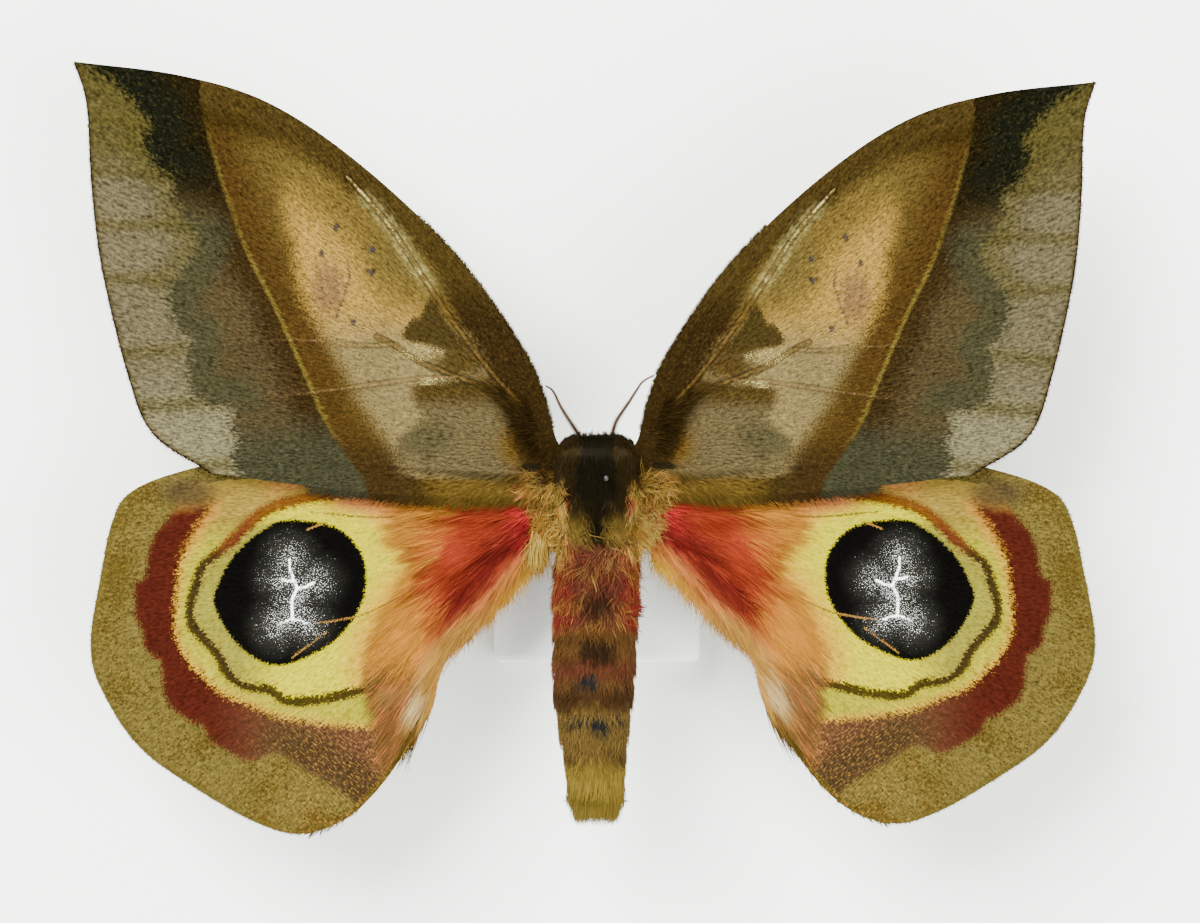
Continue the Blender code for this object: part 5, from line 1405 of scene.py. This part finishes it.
def make_root_hair():
    """Curly pale hair covers the joints beside the body."""
    wing = hindwing()
    number = hairs(settings().sizes.root_hairs)
    for side_name, side in SIDES:
        draw = np.random.default_rng(90 + side)
        plan = np.column_stack([3.9 + 5.2 * draw.uniform(0, 1, number) ** 1.5,
                                draw.uniform(-8.6, 0.6, number)])
        plan[:, 0] -= np.clip(-2.0 - plan[:, 1], 0, 2) * np.clip(plan[:, 0] - 6.5, 0, 3) * 0.45
        plan[:, 0] -= np.clip(-5.5 - plan[:, 1], 0, 3) * 0.7
        roots, normals, _ = wing.surface(plan, side)
        roots[:, 2] += draw.uniform(0.0, 1.7, number) * np.clip((8.0 - plan[:, 0]) / 4.0, 0.2, 1.0)
        roots[:, 2] += 2.2 * np.clip((plan[:, 1] + 2.2) / 1.2, 0.0, 1.0)
        turn = 2.0 * ripple(plan, 3.2, 50 + side) + draw.normal(0, 0.45, number)
        ways = turned(np.tile([[0.45, -0.9]], (number, 1)), turn)
        ways = np.column_stack([side * ways[:, 0], ways[:, 1], 0.35 * draw.normal(size=number)])
        coat(f"root_hair_{side_name}", roots, normals, ways, draw.uniform(1.0, 2.3, number), 92 + side,
             width=0.8, rise=0.5, clump=0.9, pull=0.5, swing=0.4)
    make_locks(wing)


def make_locks(wing):
    """Two longer locks stand out as on the specimen: beside the left root and on the right flank."""
    draw = np.random.default_rng(97)
    number = hairs(420)
    plan = np.column_stack([draw.normal(7.1, 0.45, number), draw.normal(-7.3, 0.5, number)])
    roots, normals, _ = wing.surface(plan, -1)
    roots[:, 2] += draw.uniform(0.6, 1.6, number)
    ways = np.column_stack([draw.normal(-0.05, 0.1, number), np.full(number, -1.0),
                            draw.normal(0, 0.1, number)])
    coat("root_lock_left", roots, normals, ways, draw.uniform(2.4, 4.6, number), 98, width=0.9, rise=0.3,
         clump=1.8, pull=0.6)
    number = hairs(220)
    roots = np.column_stack([draw.normal(3.2, 0.35, number), draw.normal(-15.7, 0.35, number),
                             draw.normal(20.9, 0.25, number)])
    ways = np.column_stack([np.full(number, 1.0), draw.normal(-0.15, 0.1, number),
                            draw.normal(0, 0.1, number)])
    coat("flank_lock_right", roots, np.tile([[0.3, 0.0, 0.95]], (number, 1)), ways,
         draw.uniform(1.4, 2.8, number), 99, width=0.8, rise=0.15, clump=1.6, pull=0.8)


def body_finish():
    """Skin and fur of the body, coloured by place: dark thorax, ringed abdomen, golden brush."""
    c = settings().body
    m = Finish("body skin and fur", 0.65, specular=0.03)
    place = m.attribute("place")
    share, shade, tone = m.parts(m.attribute("strand"))
    x, y, z = m.parts(place)
    clouds = m.noise(place, 0.45, 3.0)
    patches = m.noise(place, 0.9, 1.0)
    strokes = m.noise(m.stretched(place, (3.5, 0.9, 3.5)), 1.0, 1.0)
    drift = clouds * 1.8 + shade * 0.3 + strokes
    side = m.maths("ABSOLUTE", x, 0.0)
    along = y + drift
    flap = m.step(side + drift * 0.5 + y * 0.12, 2.1, 2.7) * m.step(along, 5.8, 4.2)
    tint = m.mix(flap, c.thorax, c.shoulder)
    tint = m.mix(m.step(side + drift * 0.5, 0.3, 1.9) * m.step(along, -1.8, -4.0), tint, c.olive)
    beside = m.step(side + drift * 0.5 + m.step(y, -4.0, -8.0) * 0.6, 3.5, 4.5) * m.step(along, 0.8, -1.0)
    pale = m.mix(m.step(clouds * 1.6 + tone * 0.08, -0.16, 0.2), c.gold, c.cream)
    pale = m.mix(m.step(patches + shade * 0.04, 0.14, 0.2), pale, c.bare)
    pale = m.mix(m.step(patches - clouds + tone * 0.1, -0.04, -0.2) * 0.85, pale, c.blush)
    tint = m.mix(beside * m.step(y, -9.6, -8.8), tint, pale)
    rose = m.mix(m.step(side + drift * 0.8 + patches * 3.0, 2.3, 3.4), c.rose, c.red)
    rose = m.mix(m.step(patches + strokes * 0.6 + tone * 0.1, 0.02, 0.3) * 0.45, rose, c.cream)
    rose = m.mix(m.step(clouds + shade * 0.15, -0.12, -0.25) * 0.7, rose, c.brown)
    tint = m.mix(m.step(along, -6.2, -7.8) * (1.0 - beside * m.step(y, -9.6, -8.8)), tint, rose)
    for place_y in (9.6, 13.0, 16.6):
        wisp = m.near(along + side * 0.35 + place_y, 0.25, 0.5) * m.step(strokes + patches * 0.5, -0.12, 0.1)
        tint = m.mix(wisp * 0.6, tint, c.gold)
    tint = m.mix(m.near(along + 14.4, 1.2, 0.9) * m.step(side + drift * 0.5, 2.0, 0.6) * 0.8, tint, c.brown)
    tint = m.mix(m.step(along, -17.0, -17.8), tint, c.tan)
    tint = m.mix(m.near(along + 20.4, 1.1, 0.8) * m.step(side + drift * 0.5, 3.0, 1.3) * 0.9, tint, c.brown)
    tint = m.mix(m.near(along + 22.6, 0.7, 0.6) * 0.7, tint, c.rose)
    tint = m.mix(m.near(along + 26.0, 0.9, 0.6) * 0.6, tint, c.brown)
    tint = m.mix(m.step(along, -26.6, -28.0), tint, c.ochre)
    tint = m.mix(m.near(along + 33.4, 0.25, 0.4) * 0.5, tint, c.brown)
    tint = m.mix(m.step(along, -33.6, -34.4), tint, c.brush)
    tint = m.mix(m.spot(place, (-1.0, -24.2), (1.9, 1.0), 0.5) * 0.95, tint, c.bare)
    slit = m.near(y + 28.9 + clouds * 0.8, 0.22, 0.2) * m.step(side, 4.2, 3.2) * m.step(z, 19.6, 20.2)
    slit = m.most(slit, m.spot(place, (0.3, -29.6), (1.2, 1.2), 0.5))
    tint = m.mix(slit * 0.95, tint, c.bare)
    tint = m.mix(m.step(z + drift, 17.0, 15.6), tint, c.under)
    tint = m.lit(tint, 1.0 + strokes * 1.2 + tone * 0.22 + shade * 0.08)
    m.base(tint)
    m.bump(strokes, 0.0001, 0.5)
    return m


def eye_finish():
    """Compound eyes: a net of tiny dried facets, nearly dull."""
    c = settings().body
    m = Finish("compound eye", 0.42, specular=0.2, coat=0.05)
    place = m.attribute("place")
    cells = m.node("TexVoronoi", {"feature": "F1"}, {"Vector": place, "Scale": 7.0})
    clouds = m.noise(place, 0.9, 2.0)
    m.base(m.lit(c.eye, 1.0 + clouds * 1.2 - cells * 0.6))
    m.bump(cells, 0.00006, 0.7)
    return m


def make_eyes():
    """Two round eyes set into the head's sides."""
    for side_name, side in SIDES:
        centre = (HEAD_CENTRE[0] + side * EYE_CENTRE[0], *EYE_CENTRE[1:])
        points, faces = oval(centre, (EYE_RADIUS,) * 3, 40, 56)
        piece = new_piece(f"compound_eye_{side_name}", points, faces, finishes["eye"], body_marks(points))
        settle(piece, "eye", f"eye_{side_name}")


def horn_finish():
    """Horny skin of the feelers: brown, with fine rings."""
    c = settings().body
    m = Finish("feeler horn", 0.5, specular=0.15)
    place = m.attribute("place")
    clouds = m.noise(place, 1.2, 3.0)
    fine = m.noise(place, 6.0, 1.0)
    m.base(m.lit(c.feeler, 1.0 + clouds * 1.6 + fine * 0.8))
    m.bump(fine, 0.00004, 0.6)
    return m


def make_feelers():
    """Each feeler is a slim tube swollen at every joint, with a row of short teeth down both sides."""
    for side_name, side in SIDES:
        path = spaced(smooth(ANTENNAE[side_name]), FEELER_STEPS)
        share = np.linspace(0, 1, len(path))
        radii = ANTENNA_RADIUS + (ANTENNA_TIP_RADIUS - ANTENNA_RADIUS) * share
        radii = radii * (1 + 0.13 * np.cos(2 * math.pi * FEELER_JOINTS * share))
        points, faces = closed_tube(tube_rings(path, radii, 12))
        piece = new_piece(f"feeler_{side_name}", points, faces, finishes["horn"], body_marks(points))
        settle(piece, "horn", f"antenna_{side_name}")
        at = np.arange(14, 236, 4)
        ahead = unit(np.gradient(path, axis=0))[at]
        across = unit(np.cross(ahead, (0.0, 0.0, 1.0)))
        roots = np.vstack([path[at], path[at]])
        out = np.vstack([across, -across])
        ways = unit(out + 0.7 * np.vstack([ahead, ahead]))
        normals = unit(np.cross(ways, np.cross((0.0, 0.0, 1.0), ways)))
        lengths = np.tile(0.62 * (1.05 - share[at]) + 0.12, 2)
        teeth = tufts(f"feeler_teeth_{side_name}", roots, normals, ways, lengths, np.full(len(roots), 0.09),
                      finishes["horn"], body_marks(roots), body_places(roots), 70, rise=0.05, pull=0.0,
                      swing=0.02, sink=0.0)
        settle(teeth, "horn")


def leg_radii(share):
    """Radius at each share of a leg's length: thigh, shin, and a foot swollen at its five joints."""
    radii = np.interp(share, [0, 0.3, 0.36, 0.4, 0.62, 0.68, 1.0], [0.5, 0.42, 0.3, 0.36, 0.26, 0.2, 0.14])
    foot = np.clip((share - 0.68) / 0.32, 0, 1)
    return radii * (1 + 0.16 * (foot > 0) * np.cos(2 * math.pi * 5 * foot + math.pi))


def claws(path):
    """Two small curved claws at the end of a leg's path."""
    ahead = unit(path[-1:] - path[-6:-5])[0]
    aside = np.cross(ahead, (0.0, 0.0, 1.0))
    t = np.linspace(0, 1, 8)[:, None]
    forms = []
    for turn in (-1, 1):
        claw = path[-1] + ahead * 0.4 * t + turn * aside * 0.25 * t - np.array((0, 0, 0.16)) * t**2
        forms.append(closed_tube(tube_rings(claw, np.linspace(0.07, 0.015, 8), 8)))
    return forms


def make_leg(name, joints, side_name, side):
    """One folded leg with its claws, and its fur in a piece of its own."""
    path = spaced(smooth([(side * x, y, z) for x, y, z in joints]), LEG_STEPS)
    share = np.linspace(0, 1, len(path))
    radii = leg_radii(share)
    points, faces = join([closed_tube(tube_rings(path, radii, 16)), *claws(path)])
    piece = new_piece(f"{name}_skin_{side_name}", points, faces, finishes["body"], body_marks(points))
    settle(piece, "brown_fur", f"{name}_{side_name}")
    number = hairs(settings().sizes.leg_hairs)
    draw = np.random.default_rng(len(name) + side)
    at = (draw.uniform(0.02, 0.93, number) ** 1.2 * LEG_STEPS).astype(int)
    ahead = unit(np.gradient(path, axis=0))[at]
    out = along_surface(draw.normal(size=(number, 3)), ahead)
    roots = path[at] + out * radii[at][:, None] * 0.9
    lengths = np.interp(share[at], [0, 0.6, 1], [1.7, 1.0, 0.35]) * draw.uniform(0.7, 1.2, number)
    places = np.column_stack([0.02 + 0.9 * share[at], 0.05 + 0.9 * (np.arange(number) % 60) / 60])
    fur = tufts(f"{name}_fur_{side_name}", roots, out, ahead, lengths, np.full(number, 0.13),
                finishes["body"], body_marks(roots), places, 80 + side, rise=0.35, clump=0.5, pull=0.3)
    settle(fur, "brown_fur")


def make_legs():
    for name, joints in LEGS.items():
        for side_name, side in SIDES:
            make_leg(name, joints, side_name, side)


# Stand and stage

def foam_finish():
    """Fine closed-cell foam: pale, with small pits and slow stains."""
    c = settings().body
    m = Finish("foam block", 0.85, specular=0.3)
    place = m.node("TexCoord", {}, {}, 3)
    cells = m.node("TexVoronoi", {"feature": "F1"}, {"Vector": place, "Scale": 1600.0})
    clouds = m.noise(place, 60.0, 3.0)
    m.base(m.lit(c.foam, 0.99 + clouds * 0.05 - cells * 0.04))
    m.bump(cells, 0.00006, 0.5)
    return m


def steel_finish():
    """Drawn steel, dulled, with faint lines along it."""
    c = settings().body
    m = Finish("pin steel", 0.42, specular=0.5, metallic=1.0)
    place = m.node("TexCoord", {}, {}, 3)
    lines = m.noise(m.stretched(place, (6000.0, 6000.0, 300.0)), 1.0)
    m.base(m.lit(c.steel, 1.0 + lines * 0.25))
    m.bump(lines, 0.00001, 0.4)
    return m


def floor_finish():
    """Pale paper with a faint tooth."""
    c = settings().body
    m = Finish("pale floor", 0.8, specular=0.2)
    place = m.node("TexCoord", {}, {}, 3)
    tooth = m.noise(place, 900.0, 2.0)
    m.base(m.lit(c.floor, 1.0 + tooth * 0.03))
    m.bump(tooth, 0.00005, 0.3)
    return m


def make_stand():
    """The pin is a turned profile with its head above the thorax; the foam block keeps its solid."""
    heights, radii = np.array(PIN_PROFILE).T
    turns = 2 * math.pi * np.arange(48) / 48
    circle = np.stack([np.cos(turns), np.sin(turns), 0 * turns], axis=-1)
    middle = np.column_stack([np.full((len(heights), 2), PIN_PLACE), heights])
    rings = middle[:, None] + circle[None] * np.maximum(radii, 0.01)[:, None, None]
    points, faces = closed_tube(rings)
    pin = new_piece("steel_pin", points, faces, finishes["steel"])
    settle(pin, "steel", "stand_pin_lower", "stand_pin_upper")
    for slot in bpy.data.objects["stand_base"].material_slots:
        slot.material = finishes["foam"].material


def make_stage():
    """A pale floor, a white surround, two soft lights and the camera straight above."""
    square = FLOOR_HALF * np.array([(-1, -1, 0), (1, -1, 0), (1, 1, 0), (-1, 1, 0)], float)
    floor = new_piece("floor", square, [np.array([[0, 1, 2, 3]])], finishes["floor"])
    world = bpy.data.worlds.new("studio")
    world.use_nodes = True
    shade = world.node_tree.nodes["Background"]
    shade.inputs["Color"].default_value = (1.0, 1.0, 1.0, 1.0)
    shade.inputs["Strength"].default_value = SURROUND
    bpy.context.scene.world = world
    for name, place, width, power in LIGHTS:
        lamp = bpy.data.lights.new(name, "AREA")
        lamp.shape = "SQUARE"
        lamp.size = width
        lamp.energy = power
        light = bpy.data.objects.new(name, lamp)
        light.location = place
        aim(light, place, (0.0, 0.0, 0.02))
        light.visible_camera = False
        bpy.context.scene.collection.objects.link(light)
    camera = bpy.data.cameras.new("camera")
    camera.lens = LENS
    camera.clip_start, camera.clip_end = 0.01, 20.0
    holder = bpy.data.objects.new("camera", camera)
    holder.location = [value * MM for value in CAMERA_PLACE]
    bpy.context.scene.collection.objects.link(holder)
    bpy.context.scene.camera = holder


def aim(obj, place, target):
    """Turns an object so that it looks from its place to the target."""
    away = np.array(place) - np.array(target)
    across = np.hypot(away[0], away[1])
    obj.rotation_euler = (math.atan2(across, away[2]), 0.0, math.atan2(away[0], -away[1]))


# Operators

class MOTH_OT_stage(bpy.types.Operator):
    """Make the floor, lights and camera"""

    bl_idname = "moth.stage"
    bl_label = "Stage"

    def execute(self, context):
        make_stage()
        return {"FINISHED"}


class MOTH_OT_forewings(bpy.types.Operator):
    """Make both forewings"""

    bl_idname = "moth.forewings"
    bl_label = "Forewings"

    def execute(self, context):
        wing = forewing()
        for side_name, side in SIDES:
            wing.make(side_name, side)
        return {"FINISHED"}


class MOTH_OT_hindwings(bpy.types.Operator):
    """Make both hindwings"""

    bl_idname = "moth.hindwings"
    bl_label = "Hindwings"

    def execute(self, context):
        wing = hindwing()
        for side_name, side in SIDES:
            wing.make(side_name, side)
        return {"FINISHED"}


class MOTH_OT_forewing_hair(bpy.types.Operator):
    """Make the hair on the forewings' bases and rear edges"""

    bl_idname = "moth.forewing_hair"
    bl_label = "Forewing hair"

    def execute(self, context):
        make_forewing_hair()
        return {"FINISHED"}


class MOTH_OT_hindwing_hair(bpy.types.Operator):
    """Make the red hair on the hindwings"""

    bl_idname = "moth.hindwing_hair"
    bl_label = "Hindwing hair"

    def execute(self, context):
        make_hindwing_hair()
        return {"FINISHED"}


class MOTH_OT_skin(bpy.types.Operator):
    """Make the skin of head, thorax and abdomen"""

    bl_idname = "moth.skin"
    bl_label = "Skin"

    def execute(self, context):
        make_skin()
        return {"FINISHED"}


class MOTH_OT_body_fur(bpy.types.Operator):
    """Make the fur of head, thorax, abdomen and brush"""

    bl_idname = "moth.body_fur"
    bl_label = "Body fur"

    def execute(self, context):
        make_body_fur()
        return {"FINISHED"}


class MOTH_OT_root_hair(bpy.types.Operator):
    """Make the curly hair beside the body"""

    bl_idname = "moth.root_hair"
    bl_label = "Root hair"

    def execute(self, context):
        make_root_hair()
        return {"FINISHED"}


class MOTH_OT_eyes(bpy.types.Operator):
    """Make the compound eyes"""

    bl_idname = "moth.eyes"
    bl_label = "Eyes"

    def execute(self, context):
        make_eyes()
        return {"FINISHED"}


class MOTH_OT_feelers(bpy.types.Operator):
    """Make the feelers"""

    bl_idname = "moth.feelers"
    bl_label = "Feelers"

    def execute(self, context):
        make_feelers()
        return {"FINISHED"}


class MOTH_OT_legs(bpy.types.Operator):
    """Make the six legs and their fur"""

    bl_idname = "moth.legs"
    bl_label = "Legs"

    def execute(self, context):
        make_legs()
        return {"FINISHED"}


class MOTH_OT_stand(bpy.types.Operator):
    """Make the pin and finish the foam block"""

    bl_idname = "moth.stand"
    bl_label = "Pin and foam block"

    def execute(self, context):
        make_stand()
        return {"FINISHED"}


OPERATORS = (MOTH_OT_stage, MOTH_OT_forewings, MOTH_OT_hindwings, MOTH_OT_forewing_hair,
             MOTH_OT_hindwing_hair, MOTH_OT_skin, MOTH_OT_body_fur, MOTH_OT_root_hair, MOTH_OT_eyes,
             MOTH_OT_feelers, MOTH_OT_legs, MOTH_OT_stand)


class MOTH_PT_panel(bpy.types.Panel):
    """Lists the pieces and the settings"""

    bl_idname = "MOTH_PT_panel"
    bl_label = "Pinned silk moth"
    bl_space_type = "VIEW_3D"
    bl_region_type = "UI"
    bl_category = "Moth"

    def draw(self, context):
        for operator in OPERATORS:
            self.layout.operator(operator.bl_idname)
        for group in (settings().sizes, settings().forewing, settings().hindwing, settings().body):
            box = self.layout.box()
            for name in group.bl_rna.properties.keys():
                if name not in ("rna_type", "name"):
                    box.prop(group, name)


CLASSES = (MothSizes, ForewingColours, HindwingColours, BodyColours, MothSettings, *OPERATORS, MOTH_PT_panel)


def register():
    for each in CLASSES:
        bpy.utils.register_class(each)
    bpy.types.Scene.moth = bpy.props.PointerProperty(type=MothSettings)


def unregister():
    del bpy.types.Scene.moth
    for each in reversed(CLASSES):
        bpy.utils.unregister_class(each)


def make_finishes():
    finishes.update(forewing=forewing_finish(), hindwing=hindwing_finish(), body=body_finish(),
                    eye=eye_finish(), horn=horn_finish(), foam=foam_finish(), steel=steel_finish(),
                    floor=floor_finish())


def main():
    register()
    make_finishes()
    bpy.ops.moth.stage()
    bpy.ops.moth.forewings()
    bpy.ops.moth.hindwings()
    bpy.ops.moth.forewing_hair()
    bpy.ops.moth.hindwing_hair()
    bpy.ops.moth.skin()
    bpy.ops.moth.body_fur()
    bpy.ops.moth.root_hair()
    bpy.ops.moth.eyes()
    bpy.ops.moth.feelers()
    bpy.ops.moth.legs()
    bpy.ops.moth.stand()
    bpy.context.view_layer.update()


if __name__ == "__main__":
    main()
